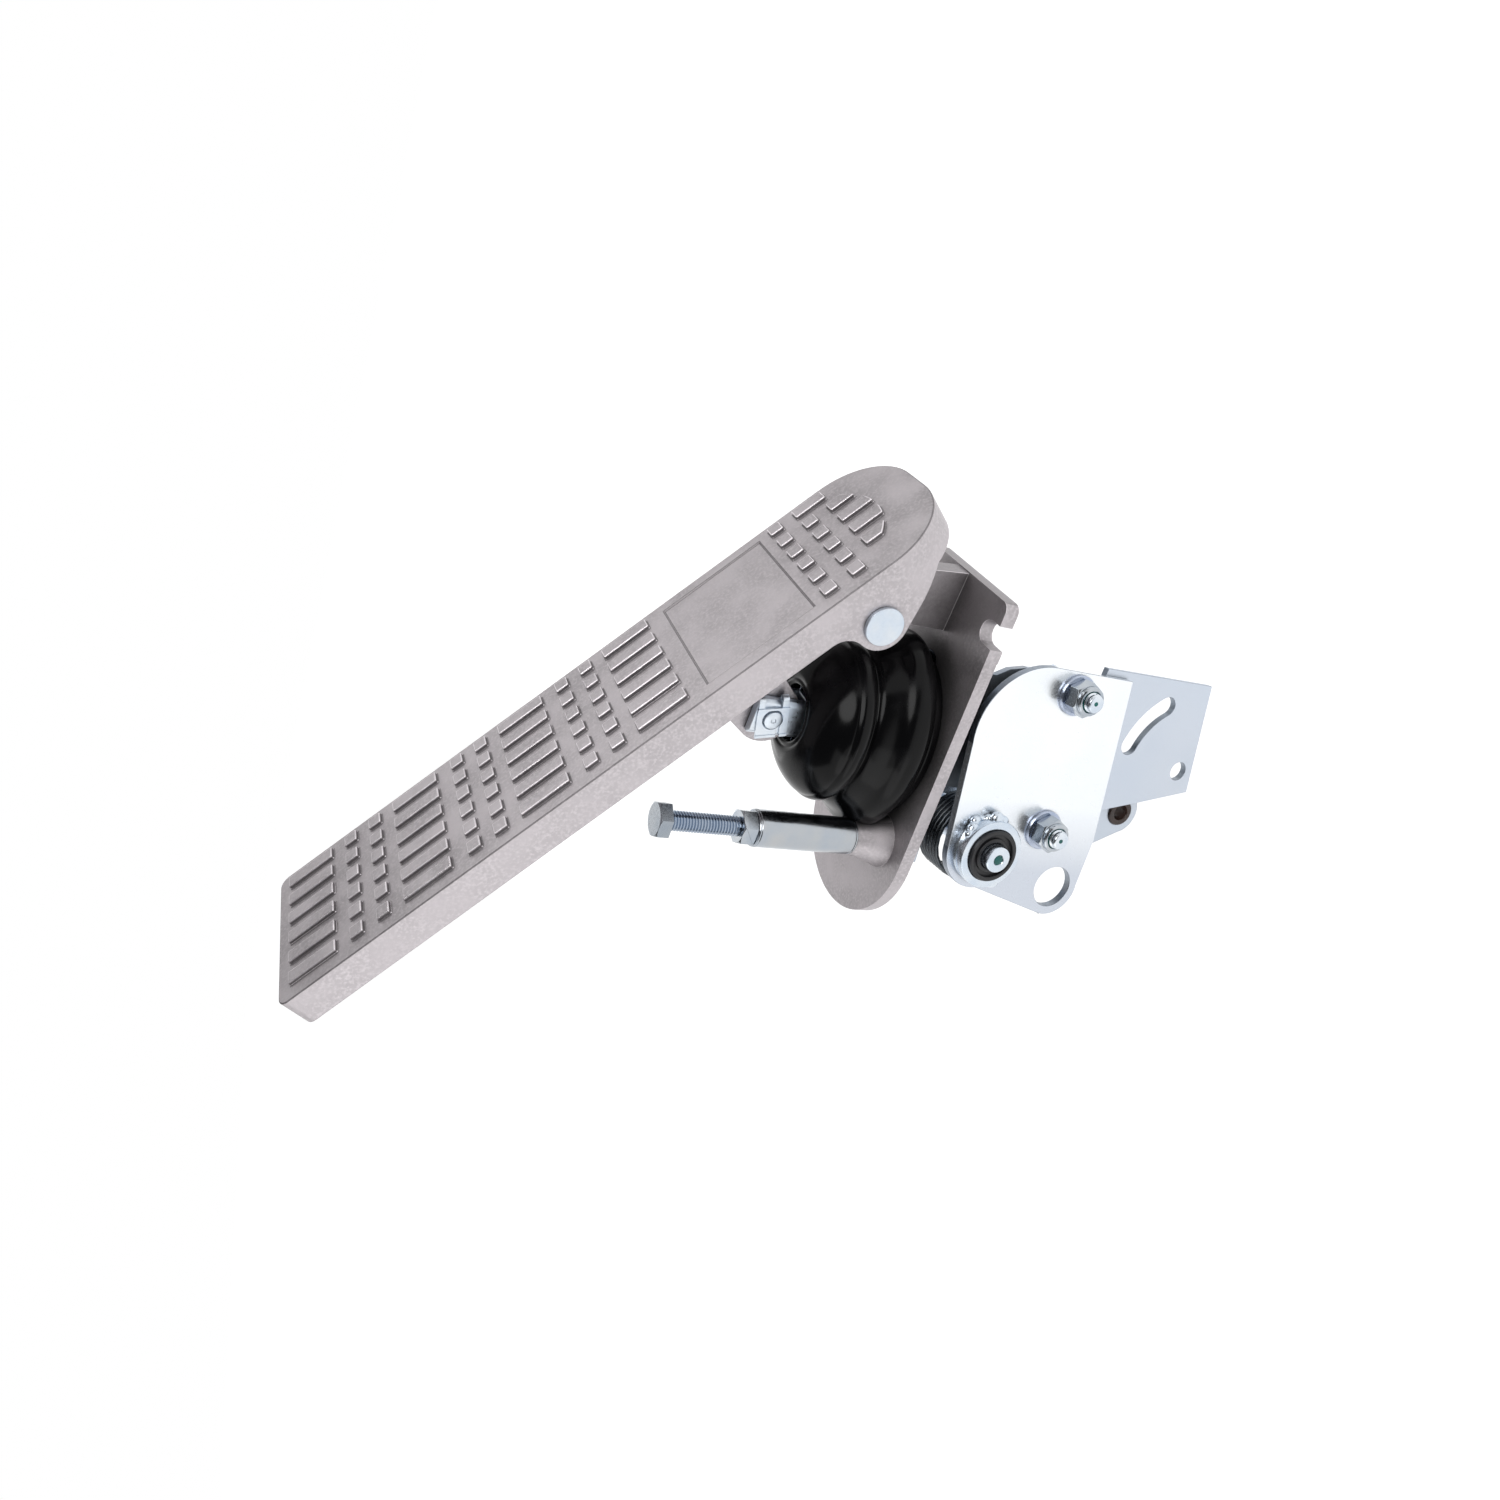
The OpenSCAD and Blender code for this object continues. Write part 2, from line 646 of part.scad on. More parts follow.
module lever_collar() {
    y0 = lever_y + lever_t / 2 + 2;
    color("#cfd6dd") at_shaft() difference() {
        rod_y(shaft_d / 2 + 3.5, y0, far_y - pass_gap);
        rod_y(shaft_d / 2, -far_y, far_y);
    }
}

module shaft_bush(y0, l) {
    color("#26272b") at_shaft() difference() {
        rod_y(shaft_bush_d / 2, y0, y0 + l);
        rod_y(shaft_d / 2 + run_fit, y0 - 1, y0 + l + 1);
    }
}

module bearing_ring(y0) {
    color("#c4ccd2") at_shaft() difference() {
        rod_y(ring_d / 2, y0, y0 + ring_w);
        rod_y(shaft_bush_d / 2, y0 - 1, y0 + ring_w + 1);
    }
}

// Bracket plates, drawn in X and Z of the bracket's frame

module near_plate_outline() {
    corner_r = 30;
    shaft_land_r = 17.5;
    window_land_r = 13;
    top_x = -12;
    left_z = -3;
    corner = [top_x - corner_r, left_z - corner_r];
    translate(corner) circle(r = corner_r, $fn = 96);
    translate([-shaft_x, shaft_z]) circle(r = shaft_land_r);
    translate(window_at) circle(r = window_land_r);
    polygon([[top_x, corner[1]], [corner[0], left_z], [-shaft_x - 1.5, shaft_z + shaft_land_r - 0.1],
        [0.2 - shaft_x - shaft_land_r, shaft_z - 2], [window_at[0] - window_land_r + 0.1, window_at[1] + 2],
        [window_at[0] + 1.5, window_at[1] - window_land_r + 0.1], [-83, -81.7], [top_x, -73]]);
}

module bolt_holes(grow) {
    for (p = [bolt_upper_at, bolt_lower_at]) translate(p) circle(r = m8_d / 2 + grow);
}

module near_plate() {
    color("#e8edf1") in_bracket() slab(near_y, side_t) difference() {
        near_plate_outline();
        bolt_holes(bolt_fit);
        translate(window_at) circle(d = window_d);
        translate([-shaft_x, shaft_z]) circle(d = shaft_bush_d);
    }
}

module adjuster_plate() {
    sector = [for (a = [adjuster_slot_turn[0], 60, adjuster_slot_turn[1]]) [cos(a), sin(a)]];
    color("#c3ccd9") in_bracket() slab(adjuster_y, adjuster_t) difference() {
        polygon(adjuster_points);
        bolt_holes(bolt_fit);
        translate(adjuster_hole_at) circle(d = adjuster_hole_d);
        translate(adjuster_hole_at) {
            intersection() {
                difference() {
                    circle(r = adjuster_slot_r + adjuster_slot_w / 2, $fn = 96);
                    circle(r = adjuster_slot_r - adjuster_slot_w / 2, $fn = 96);
                }
                polygon(concat([[0, 0]], 2 * adjuster_slot_r * sector));
            }
            for (end = [sector[0], sector[2]]) translate(adjuster_slot_r * end) circle(d = adjuster_slot_w);
        }
    }
}

// The channel's web lies on the back of the base plate, with a cheek folded down at each side
module bracket_channel() {
    root_z = back_recess - 0.5;
    color("#cdd4da") in_bracket() difference() {
        union() {
            translate([web_toe_x, cheek_y, back_recess - channel_t])
                cube([web_heel_x - web_toe_x, far_y + channel_t - cheek_y, channel_t]);
            slab(cheek_y, channel_t) {
                translate(cheek_lug_at) circle(r = 10);
                polygon(cheek_points(root_z));
            }
            slab(far_y, channel_t) {
                translate([-shaft_x, shaft_z]) circle(r = 17);
                polygon([[web_heel_x, root_z], [web_heel_x, far_cheek_z], [9 - shaft_x, shaft_z - 14.4],
                    [-shaft_x - 16, shaft_z - 5], [web_toe_x, root_z]]);
            }
        }
        slab(-40, 80) {
            bolt_holes(bolt_fit);
            translate(cheek_lug_at) circle(d = cheek_lug_d);
        }
        at_channel_bore();
        rotate([0, 0, -bracket_yaw]) translate([clevis_x, 0, -10]) cylinder(d = rod_opening_d, h = 20);
        for (p = [screw_heel_at, screw_toe_at]) translate([p[0], p[1], -10]) cylinder(d = screw_d, h = 20);
    }
}

// A long nylon bush in the lug, for the cable's end
module lug_bush() {
    color("#2b1d1a") in_bracket() translate([cheek_lug_at[0], 0, cheek_lug_at[1]]) difference() {
        rod_y(cheek_lug_d / 2, cheek_y - 1, cheek_y - 1 + lug_bush_l);
        rod_y(lug_bore_d / 2, cheek_y - 2, cheek_y + lug_bush_l);
    }
}

module at_channel_bore() {
    translate([-shaft_x, 0, shaft_z]) rod_y(shaft_bush_d / 2, far_y - 1, far_y + channel_t + 1);
}

module at_bolt(p) {
    in_bracket() translate([p[0], 0, p[1]]) children();
}

module bracket_bolt(p) {
    head_y = cheek_y + channel_t;
    color("#dde3e8") at_bolt(p) {
        rod_y(m8_d / 2, near_y - washer_t - nyloc_t - 3, head_y);
        hex_y(head_y, head_y + m8_head_t);
    }
}

module bracket_nut(p) {
    y1 = near_y - washer_t;
    color("#b4bcc4") at_bolt(p) difference() {
        union() {
            hex_y(y1 - nyloc_t + 2, y1);
            rod_y(m8_af / 2 - 0.4, y1 - nyloc_t, y1 - nyloc_t + 2);
        }
        rod_y(m8_d / 2, y1 - nyloc_t - 1, y1 + 1);
    }
}

module bracket_washer(p) {
    color("#cfd6dd") at_bolt(p) difference() {
        rod_y(washer_d / 2, near_y - washer_t, near_y);
        rod_y(m8_d / 2 + bolt_fit, near_y - 10, near_y + 1);
    }
}

module bracket_spacer(p) {
    color("#aab2b8") at_bolt(p) difference() {
        rod_y(7, spacer_y, cheek_y);
        rod_y(m8_d / 2 + bolt_fit, spacer_y - 1, cheek_y + 1);
    }
}

module channel_screw(p) {
    color("#9aa0a4") in_bracket() translate([p[0], p[1], 0]) {
        translate([0, 0, -channel_t - 2]) cylinder(d = screw_d, h = plate_t + channel_t - 0.6);
        translate([0, 0, plate_t - screw_sink_h + 0.1])
            cylinder(r1 = screw_d / 2, r2 = screw_head_d / 2, h = screw_sink_h - 0.2);
    }
}

// Return spring: a close coil round the lever shaft, whose leg bears on the lower spacer

spring_steps = 24;
spring_sides = 8;
function spring_point(i, j) = let (
    turn = 360 * i / spring_steps,
    side = 360 * j / spring_sides,
    r = spring_r - spring_wire / 2 + spring_wire / 2 * cos(side)
) [r * cos(turn), spring_wire / 2 * sin(side) + spring_pitch * i / spring_steps, r * sin(turn)];

function leg_point(j) = [
    spring_r - spring_wire / 2 + spring_leg_lean + spring_wire / 2 * cos(360 * j / spring_sides),
    spring_wire / 2 * sin(360 * j / spring_sides), -spring_leg_l];

module return_spring() {
    last = spring_turns * spring_steps + 1;
    n = spring_sides;
    coil = [for (i = [0 : last - 1], j = [0 : n - 1]) spring_point(i, j)];
    points = concat([for (j = [0 : n - 1]) leg_point(j)], coil);
    sides = [for (i = [0 : last - 1], j = [0 : n - 1])
        [i * n + j, (i + 1) * n + j, (i + 1) * n + (j + 1) % n, i * n + (j + 1) % n]];
    caps = [[for (j = [0 : n - 1]) j], [for (j = [n - 1 : -1 : 0]) last * n + j]];
    color("#2b2b2d") at_shaft() translate([0, spring_y0 + spring_wire / 2, 0])
        polyhedron(points = points, faces = concat(sides, caps), convexity = 10);
}

base_plate();
treadle();
hinge_pin();
hinge_clip();
hinge_bush(-1);  // hinge_bush_near
hinge_bush(1);  // hinge_bush_far
stop_sleeve();
stop_bolt();
stop_nut();
rubber_boot();
color("#c4ccd2") at_upper_pin() fork();  // upper_fork
color("#dde3e8") at_upper_pin() fork_pin();  // clevis_pin
color("#dde3e8") at_upper_pin() fork_clip();  // clevis_clip
push_rod();
rod_nut(clevis_z - fork_l - m8_nut_t);  // rod_nut_upper
rod_nut(lower_pin_z + fork_l);  // rod_nut_lower
color("#c4ccd2") at_lower_pin() fork();  // lower_fork
color("#dde3e8") at_lower_pin() fork_pin();  // lower_pin
color("#dde3e8") at_lower_pin() fork_clip();  // lower_clip
lever_shaft();
input_lever();
lever_collar();
shaft_bush(near_y - ring_w - 1.5, ring_w + side_t + 1.5);  // shaft_bush_near
shaft_bush(far_y, ring_w + channel_t + 1);  // shaft_bush_far
bearing_ring(near_y - ring_w);  // bearing_ring_near
bearing_ring(far_y + channel_t);  // bearing_ring_far
near_plate();
adjuster_plate();
bracket_channel();
lug_bush();
bracket_bolt(bolt_upper_at);  // bolt_upper
bracket_bolt(bolt_lower_at);  // bolt_lower
bracket_nut(bolt_upper_at);  // nut_upper
bracket_nut(bolt_lower_at);  // nut_lower
bracket_washer(bolt_upper_at);  // washer_upper
bracket_washer(bolt_lower_at);  // washer_lower
bracket_spacer(bolt_upper_at);  // spacer_upper
bracket_spacer(bolt_lower_at);  // spacer_lower
return_spring();
channel_screw(screw_heel_at);  // channel_screw_heel
channel_screw(screw_toe_at);  // channel_screw_toe
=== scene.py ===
"""Looks of a floor-mounted accelerator pedal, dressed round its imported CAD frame.

Metres, in the frame of the CAD model: X along the base plate to the heel hinge, Y along the
hinge pin and Z out of the base plate.
"""

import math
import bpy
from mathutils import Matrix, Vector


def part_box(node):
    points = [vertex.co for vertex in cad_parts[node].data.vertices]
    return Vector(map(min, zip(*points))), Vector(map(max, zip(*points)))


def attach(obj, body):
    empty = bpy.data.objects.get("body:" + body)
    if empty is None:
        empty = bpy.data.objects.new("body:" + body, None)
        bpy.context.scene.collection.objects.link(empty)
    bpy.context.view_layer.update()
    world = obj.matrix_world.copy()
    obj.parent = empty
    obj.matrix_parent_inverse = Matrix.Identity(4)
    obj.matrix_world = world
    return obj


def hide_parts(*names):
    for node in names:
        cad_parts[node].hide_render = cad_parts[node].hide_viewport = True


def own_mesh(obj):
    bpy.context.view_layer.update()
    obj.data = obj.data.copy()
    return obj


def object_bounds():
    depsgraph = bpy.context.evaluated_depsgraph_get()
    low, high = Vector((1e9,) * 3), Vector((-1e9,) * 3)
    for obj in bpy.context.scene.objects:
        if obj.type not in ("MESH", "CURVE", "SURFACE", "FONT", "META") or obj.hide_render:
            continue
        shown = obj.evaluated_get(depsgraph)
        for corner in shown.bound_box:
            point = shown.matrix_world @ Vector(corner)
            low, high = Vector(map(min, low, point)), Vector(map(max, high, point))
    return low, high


bl_info = {
    "name": "Accelerator Pedal",
    "version": (1, 0, 0),
    "blender": (4, 5, 0),
    "location": "View3D > Sidebar > Pedal",
    "description": "Models and finishes the pieces of a floor-mounted accelerator pedal",
    "category": "Add Mesh",
}

import bpy
from mathutils import Matrix, Vector

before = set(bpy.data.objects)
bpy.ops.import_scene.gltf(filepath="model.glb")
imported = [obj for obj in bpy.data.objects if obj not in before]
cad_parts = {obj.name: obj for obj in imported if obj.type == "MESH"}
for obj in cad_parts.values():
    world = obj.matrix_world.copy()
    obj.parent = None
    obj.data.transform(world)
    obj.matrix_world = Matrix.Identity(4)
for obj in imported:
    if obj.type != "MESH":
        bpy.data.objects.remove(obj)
cad_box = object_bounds()

MM = 0.001

# Places shared with the CAD frame
TREADLE_TILT = math.radians(38.8)
BRACKET_YAW = math.radians(12)
BRACKET_TURN = Matrix.Rotation(BRACKET_YAW, 4, "Z")
BOOT_CENTRE = Vector((-57.01 * MM, 0.0, 0.0))
STOP_AXIS = Vector((-100 * MM, -20 * MM, 0.0))
SHAFT_AXIS = Vector((-91 * MM, 0.0, -25 * MM))
NEAR_FACE = -27 * MM
HINGE_WALL_X = -20 * MM
BOLT_PLACES = {"upper": (-21.5 * MM, -46 * MM), "lower": (-80 * MM, -52 * MM)}

# Sizes of the hardware and of the bracket, in millimetres
HEAD_HEIGHT = 5.3
NUT_HEIGHT = 6.2
WASHER_HEIGHT = 1.6
NEAR_PLATE, ADJUSTER_PLATE, SPACER, CHEEK = (3.5, 3, 4.5, 3)
SHAFT_DEPTH = 62
BUSH_FACE = 7.5
RING_HEIGHT = 6
BEADS_IN_WELD = 7

# Limits of mesh repair
DOUBLE_GAP = 2e-6
MERGE_GAP = 1e-6
FLAT_ANGLE = math.radians(0.3)

# Sockets of the Mix node that belong to colours
MIX_FACTOR, MIX_FIRST, MIX_SECOND, MIX_RESULT = (0, 6, 7, 2)

# Height, half width, extra half length and lean to the toe of the boot's rings, in millimetres
BOOT_RINGS = (
    (6.0, 25.0, 0.0, 0.5), (6.0, 29.4, 6.0, 1.5), (6.4, 30.2, 6.6, 1.5), (7.2, 30.7, 6.9, 1.5),
    (9.0, 31.0, 7.2, 1.5), (9.8, 31.0, 7.3, 1.5), (10.4, 30.8, 7.4, 1.5), (10.9, 31.2, 8.0, 1.5),
    (11.6, 32.4, 9.0, 1.6), (12.8, 33.5, 9.8, 1.7), (14.4, 34.1, 10.2, 1.8), (16.2, 34.3, 10.3, 1.8),
    (18.5, 34.0, 10.1, 1.7), (20.8, 33.3, 9.7, 1.5), (22.2, 32.7, 9.3, 1.4), (23.2, 32.0, 8.9, 1.3),
    (24.2, 31.4, 8.5, 1.2), (26.0, 30.6, 8.0, 1.0), (28.7, 29.8, 7.3, 0.8), (31.0, 29.0, 6.6, 0.6),
    (32.6, 28.4, 6.1, 0.4), (33.4, 27.8, 5.8, 0.3), (34.0, 27.0, 5.5, 0.2), (34.6, 26.6, 5.3, 0.1),
    (35.2, 27.0, 5.1, 0.0), (35.8, 28.3, 4.8, 0.0), (36.6, 29.6, 4.4, 0.0), (37.8, 30.7, 4.0, 0.0),
    (39.2, 31.3, 3.6, 0.0), (41.0, 31.5, 3.3, 0.0), (42.4, 31.1, 3.2, 0.0), (43.2, 30.6, 3.1, 0.0),
    (43.7, 30.1, 3.1, 0.0), (44.1, 30.0, 3.1, 0.0), (45.2, 29.7, 3.0, 0.0), (47.0, 28.7, 2.8, 0.0),
    (49.2, 27.1, 2.5, 0.0), (51.3, 25.2, 2.2, 0.0), (53.2, 22.9, 1.9, 0.0), (54.8, 20.6, 1.5, 0.0),
    (56.0, 18.3, 1.1, 0.0), (56.8, 16.4, 0.7, 0.0), (57.2, 15.2, 0.4, 0.0), (57.0, 14.3, 0.2, 0.0),
    (56.6, 13.9, 0.0, 0.0), (57.0, 13.4, 0.0, 0.0), (57.3, 12.7, 0.0, 0.0), (56.9, 11.8, 0.0, 0.0),
    (56.0, 11.2, 0.0, 0.0), (54.0, 11.0, 0.0, 0.0),
)


class PedalCamera(bpy.types.PropertyGroup):
    """The camera of the product picture"""

    lens: bpy.props.FloatProperty(
        name="Lens", description="Focal length", default=26.4, min=10, unit="CAMERA"
    )
    sensor: bpy.props.FloatProperty(
        name="Sensor", description="Width of the sensor", default=36, min=10, unit="CAMERA"
    )
    shift: bpy.props.FloatVectorProperty(
        name="Shift", description="Framing shift", size=2, default=(0.0053, -0.04)
    )
    place: bpy.props.FloatVectorProperty(
        name="Place", description="Where the camera stands", size=3,
        default=(0.11961, -0.34208, 0.26733), subtype="TRANSLATION", unit="LENGTH",
    )
    right: bpy.props.FloatVectorProperty(
        name="Right", description="Direction of the picture's right side", size=3,
        default=(0.324, -0.323, -0.889), subtype="DIRECTION",
    )
    up: bpy.props.FloatVectorProperty(
        name="Up", description="Direction of the picture's top", size=3,
        default=(0.857, 0.498, 0.132), subtype="DIRECTION",
    )


class PedalFinish(bpy.types.PropertyGroup):
    """Colours of the finishes"""

    casting: bpy.props.FloatVectorProperty(
        name="Casting", description="Colour of the cast aluminium", size=4,
        default=(0.55, 0.515, 0.532, 1), subtype="COLOR", min=0, max=1,
    )
    zinc: bpy.props.FloatVectorProperty(
        name="Zinc", description="Colour of the bright zinc plating", size=4,
        default=(0.72, 0.76, 0.8, 1), subtype="COLOR", min=0, max=1,
    )
    blue_zinc: bpy.props.FloatVectorProperty(
        name="Blue zinc", description="Colour of the blue zinc plating", size=4,
        default=(0.38, 0.43, 0.5, 1), subtype="COLOR", min=0, max=1,
    )
    rubber: bpy.props.FloatVectorProperty(
        name="Rubber", description="Colour of the boot", size=4,
        default=(0.003, 0.003, 0.0035, 1), subtype="COLOR", min=0, max=1,
    )
    grain: bpy.props.FloatProperty(
        name="Grain", description="Size of the casting's sand grain", default=0.7 * MM,
        min=0.1 * MM, unit="LENGTH",
    )


class PedalThread(bpy.types.PropertyGroup):
    """The metric thread of the bolts"""

    pitch: bpy.props.FloatProperty(
        name="Pitch", description="Rise of one turn", default=1.25 * MM, min=0.5 * MM, unit="LENGTH"
    )
    outer: bpy.props.FloatProperty(
        name="Outer radius", description="Radius of the thread's crest", default=4 * MM, unit="LENGTH"
    )
    root: bpy.props.FloatProperty(
        name="Root radius", description="Radius of the thread's root", default=3.35 * MM, unit="LENGTH"
    )
    flats: bpy.props.FloatProperty(
        name="Across flats", description="Width of heads and nuts", default=13 * MM, unit="LENGTH"
    )


def only(piece):
    """Selects one piece and makes it active."""
    bpy.ops.object.select_all(action="DESELECT")
    piece.select_set(True)
    bpy.context.view_layer.objects.active = piece


def add_modifier(piece, kind, **settings):
    """Adds a modifier to a piece, sets it and applies it."""
    only(piece)
    bpy.ops.object.modifier_add(type=kind)
    modifier = piece.modifiers[-1]
    for key, value in settings.items():
        setattr(modifier, key, value)
    bpy.ops.object.modifier_apply(modifier=modifier.name)


def clean(piece):
    """Joins loose triangles into clean faces."""
    only(piece)
    bpy.ops.object.mode_set(mode="EDIT")
    bpy.ops.mesh.select_all(action="SELECT")
    bpy.ops.mesh.remove_doubles(threshold=DOUBLE_GAP)
    bpy.ops.mesh.dissolve_limited(angle_limit=FLAT_ANGLE)
    bpy.ops.object.mode_set(mode="OBJECT")


def copy_node(node):
    """A copy of a CAD node's mesh as a new piece."""
    piece = bpy.data.objects.new(node + "_piece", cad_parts[node].data.copy())
    bpy.context.scene.collection.objects.link(piece)
    piece.data.materials.clear()
    clean(piece)
    return piece


def round_edges(piece, width, segments=2, angle=28, clamp=False):
    """Breaks every sharp edge of a piece with a small round."""
    add_modifier(
        piece, "BEVEL", width=width, segments=segments, limit_method="ANGLE",
        angle_limit=math.radians(angle), use_clamp_overlap=clamp,
    )
    smooth(piece)
    add_modifier(piece, "WEIGHTED_NORMAL", keep_sharp=True)


def smooth(piece, angle=35):
    """Shades a piece smooth across its shallow edges."""
    only(piece)
    bpy.ops.object.shade_smooth_by_angle(angle=math.radians(angle), keep_sharp_edges=False)


def apply_place(piece):
    """Moves a piece's place into its mesh."""
    only(piece)
    bpy.ops.object.transform_apply(location=True, rotation=True, scale=True)


def outline(name, points):
    """A new piece that is only a chain of edges, through points given as (radius, height)."""
    bpy.ops.object.select_all(action="DESELECT")
    bpy.ops.mesh.primitive_plane_add(size=MM, location=(0, 0, 0))
    piece = bpy.context.object
    piece.name = name
    bpy.ops.object.mode_set(mode="EDIT")
    bpy.ops.mesh.select_all(action="SELECT")
    bpy.ops.mesh.merge(type="CENTER")
    bpy.ops.transform.translate(value=(points[0][0], 0, points[0][1]))
    for (r0, z0), (r1, z1) in zip(points, points[1:]):
        bpy.ops.mesh.extrude_vertices_move(TRANSFORM_OT_translate={"value": (r1 - r0, 0, z1 - z0)})
    bpy.ops.object.mode_set(mode="OBJECT")
    return piece


def close_up(piece):
    """Merges doubled points, fills open ends and turns every face outward."""
    only(piece)
    bpy.ops.object.mode_set(mode="EDIT")
    bpy.ops.mesh.select_all(action="SELECT")
    bpy.ops.mesh.remove_doubles(threshold=MERGE_GAP)
    bpy.ops.mesh.select_all(action="DESELECT")
    bpy.ops.mesh.select_non_manifold(
        extend=False, use_boundary=True, use_wire=False, use_multi_face=False,
        use_non_contiguous=False, use_verts=False,
    )
    bpy.ops.mesh.edge_face_add()
    bpy.ops.mesh.select_all(action="SELECT")
    bpy.ops.mesh.normals_make_consistent(inside=False)
    bpy.ops.object.mode_set(mode="OBJECT")


def wind(piece, steps, **settings):
    """Winds an outline round Z and closes the surface that it leaves."""
    add_modifier(
        piece, "SCREW", axis="Z", steps=steps, render_steps=steps, use_merge_vertices=True,
        merge_threshold=MERGE_GAP, **settings,
    )
    close_up(piece)


def put(piece, matrix):
    """Moves a piece by a matrix and keeps the move in its mesh."""
    piece.matrix_world = matrix
    apply_place(piece)
    return piece


def turned(name, points, matrix=Matrix.Identity(4), steps=64, angle=30):
    """A piece turned round Z from an outline of (radius, height) in millimetres."""
    piece = outline(name, [(r * MM, z * MM) for r, z in points])
    wind(piece, steps, screw_offset=0, angle=2 * math.pi)
    put(piece, matrix)
    smooth(piece, angle)
    return piece


def joined(name, *pieces):
    """Makes several pieces one."""
    bpy.ops.object.select_all(action="DESELECT")
    for piece in pieces:
        piece.select_set(True)
    bpy.context.view_layer.objects.active = pieces[0]
    bpy.ops.object.join()
    pieces[0].name = name
    return pieces[0]


def cut(piece, tool, operation="DIFFERENCE"):
    """Cuts a piece by a tool, which is used up."""
    add_modifier(piece, "BOOLEAN", object=tool, operation=operation, solver="EXACT")
    only(tool)
    bpy.ops.object.delete()
    return piece


def hexagon(name, height, matrix, top=True, bottom=True):
    """A hexagon with its corners chamfered at the top, the bottom or both, in millimetres."""
    bpy.ops.object.select_all(action="DESELECT")
    flats = round(bpy.context.scene.pedal_thread.flats / MM, 3)
    corner = flats / math.sqrt(3)
    bpy.ops.mesh.primitive_cylinder_add(
        vertices=6, radius=corner * MM, depth=height * MM, location=(0, 0, height * MM / 2),
        rotation=(0, 0, math.radians(90)),
    )
    piece = bpy.context.object
    piece.name = name
    apply_place(piece)
    land = flats / 2 - 0.15
    reach = corner + 0.3
    drop = (reach - land) * math.tan(math.radians(28))
    low, high = [(0, -1), (reach, -1)], [(reach, height + 1), (0, height + 1)]
    if bottom:
        low = [(0, 0), (land, 0), (reach, drop)]
    if top:
        high = [(reach, height - drop), (land, height), (0, height)]
    tool = turned(name + "_tool", low + high, steps=96)
    cut(piece, tool, "INTERSECT")
    round_edges(piece, 0.12 * MM, 2, 20)
    return put(piece, matrix)


def toward_viewer(x, y, z):
    """A place in the bracket's frame whose Z points out of the near side plate."""
    return BRACKET_TURN @ Matrix.Translation((x, y, z)) @ Matrix.Rotation(math.radians(90), 4, "X")


def shaft_place():
    """Where the lever shaft leaves the near side plate."""
    return toward_viewer(SHAFT_AXIS.x, NEAR_FACE, SHAFT_AXIS.z)


def dress(piece, material, body, nodes=()):
    """Gives a piece its finish and its body, and hides the CAD nodes that it stands for."""
    piece.data.materials.clear()
    piece.data.materials.append(material)
    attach(piece, body)
    if nodes:
        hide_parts(*nodes)
    return piece


def softened(node, body, material, width=0.3 * MM, segments=2, angle=28, clamp=False):
    """A CAD node's shape with its edges rounded, in place of the node."""
    piece = copy_node(node)
    round_edges(piece, width, segments, angle, clamp)
    return dress(piece, material, body, [node])


def finish_faces(piece, material, chosen):
    """Gives the faces that a test chooses their own finish."""
    piece.data.materials.append(material)
    number = len(piece.data.materials) - 1
    for face in piece.data.polygons:
        if chosen(face):
            face.material_index = number


# Materials


def new_material(name):
    """A new material, its node tree and its main shader."""
    material = bpy.data.materials.new(name)
    material.use_nodes = True
    tree = material.node_tree
    return material, tree, tree.nodes["Principled BSDF"]


def node(tree, kind, **inputs):
    """Adds a shader node and sets the inputs that are named."""
    made = tree.nodes.new(kind)
    for key, value in inputs.items():
        made.inputs[key.replace("_", " ")].default_value = value
    return made


def noise(tree, coordinates, scale, detail=3.0, roughness=0.5):
    """A noise texture on the piece's own coordinates."""
    made = node(tree, "ShaderNodeTexNoise", Scale=scale, Detail=detail, Roughness=roughness)
    tree.links.new(coordinates, made.inputs["Vector"])
    return made.outputs["Fac"]


def spread(tree, value, low, high, to_low=0.0, to_high=1.0):
    """Maps a value from one range to another."""
    made = node(tree, "ShaderNodeMapRange", From_Min=low, From_Max=high, To_Min=to_low, To_Max=to_high)
    tree.links.new(value, made.inputs["Value"])
    return made.outputs["Result"]


def mix(tree, factor, first, second):
    """Mixes two colours, each given as a colour or as an output."""
    made = tree.nodes.new("ShaderNodeMix")
    made.data_type = "RGBA"
    tree.links.new(factor, made.inputs[MIX_FACTOR])
    for socket, value in ((made.inputs[MIX_FIRST], first), (made.inputs[MIX_SECOND], second)):
        if hasattr(value, "is_linked"):
            tree.links.new(value, socket)
        else:
            socket.default_value = value
    return made.outputs[MIX_RESULT]


def bump(tree, shader, height, strength, distance):
    """Adds a bump in front of the shader's normal, keeping what is there."""
    made = node(tree, "ShaderNodeBump", Strength=strength, Distance=distance)
    tree.links.new(height, made.inputs["Height"])
    socket = shader.inputs["Normal"]
    if socket.is_linked:
        tree.links.new(socket.links[0].from_socket, made.inputs["Normal"])
    tree.links.new(made.outputs["Normal"], socket)


def object_coordinates(tree):
    """The piece's own coordinates, in metres."""
    return tree.nodes.new("ShaderNodeTexCoord").outputs["Object"]


def shade(colour, factor):
    """A colour made lighter or darker."""
    return tuple(min(1, c * factor) for c in colour[:3]) + (1,)


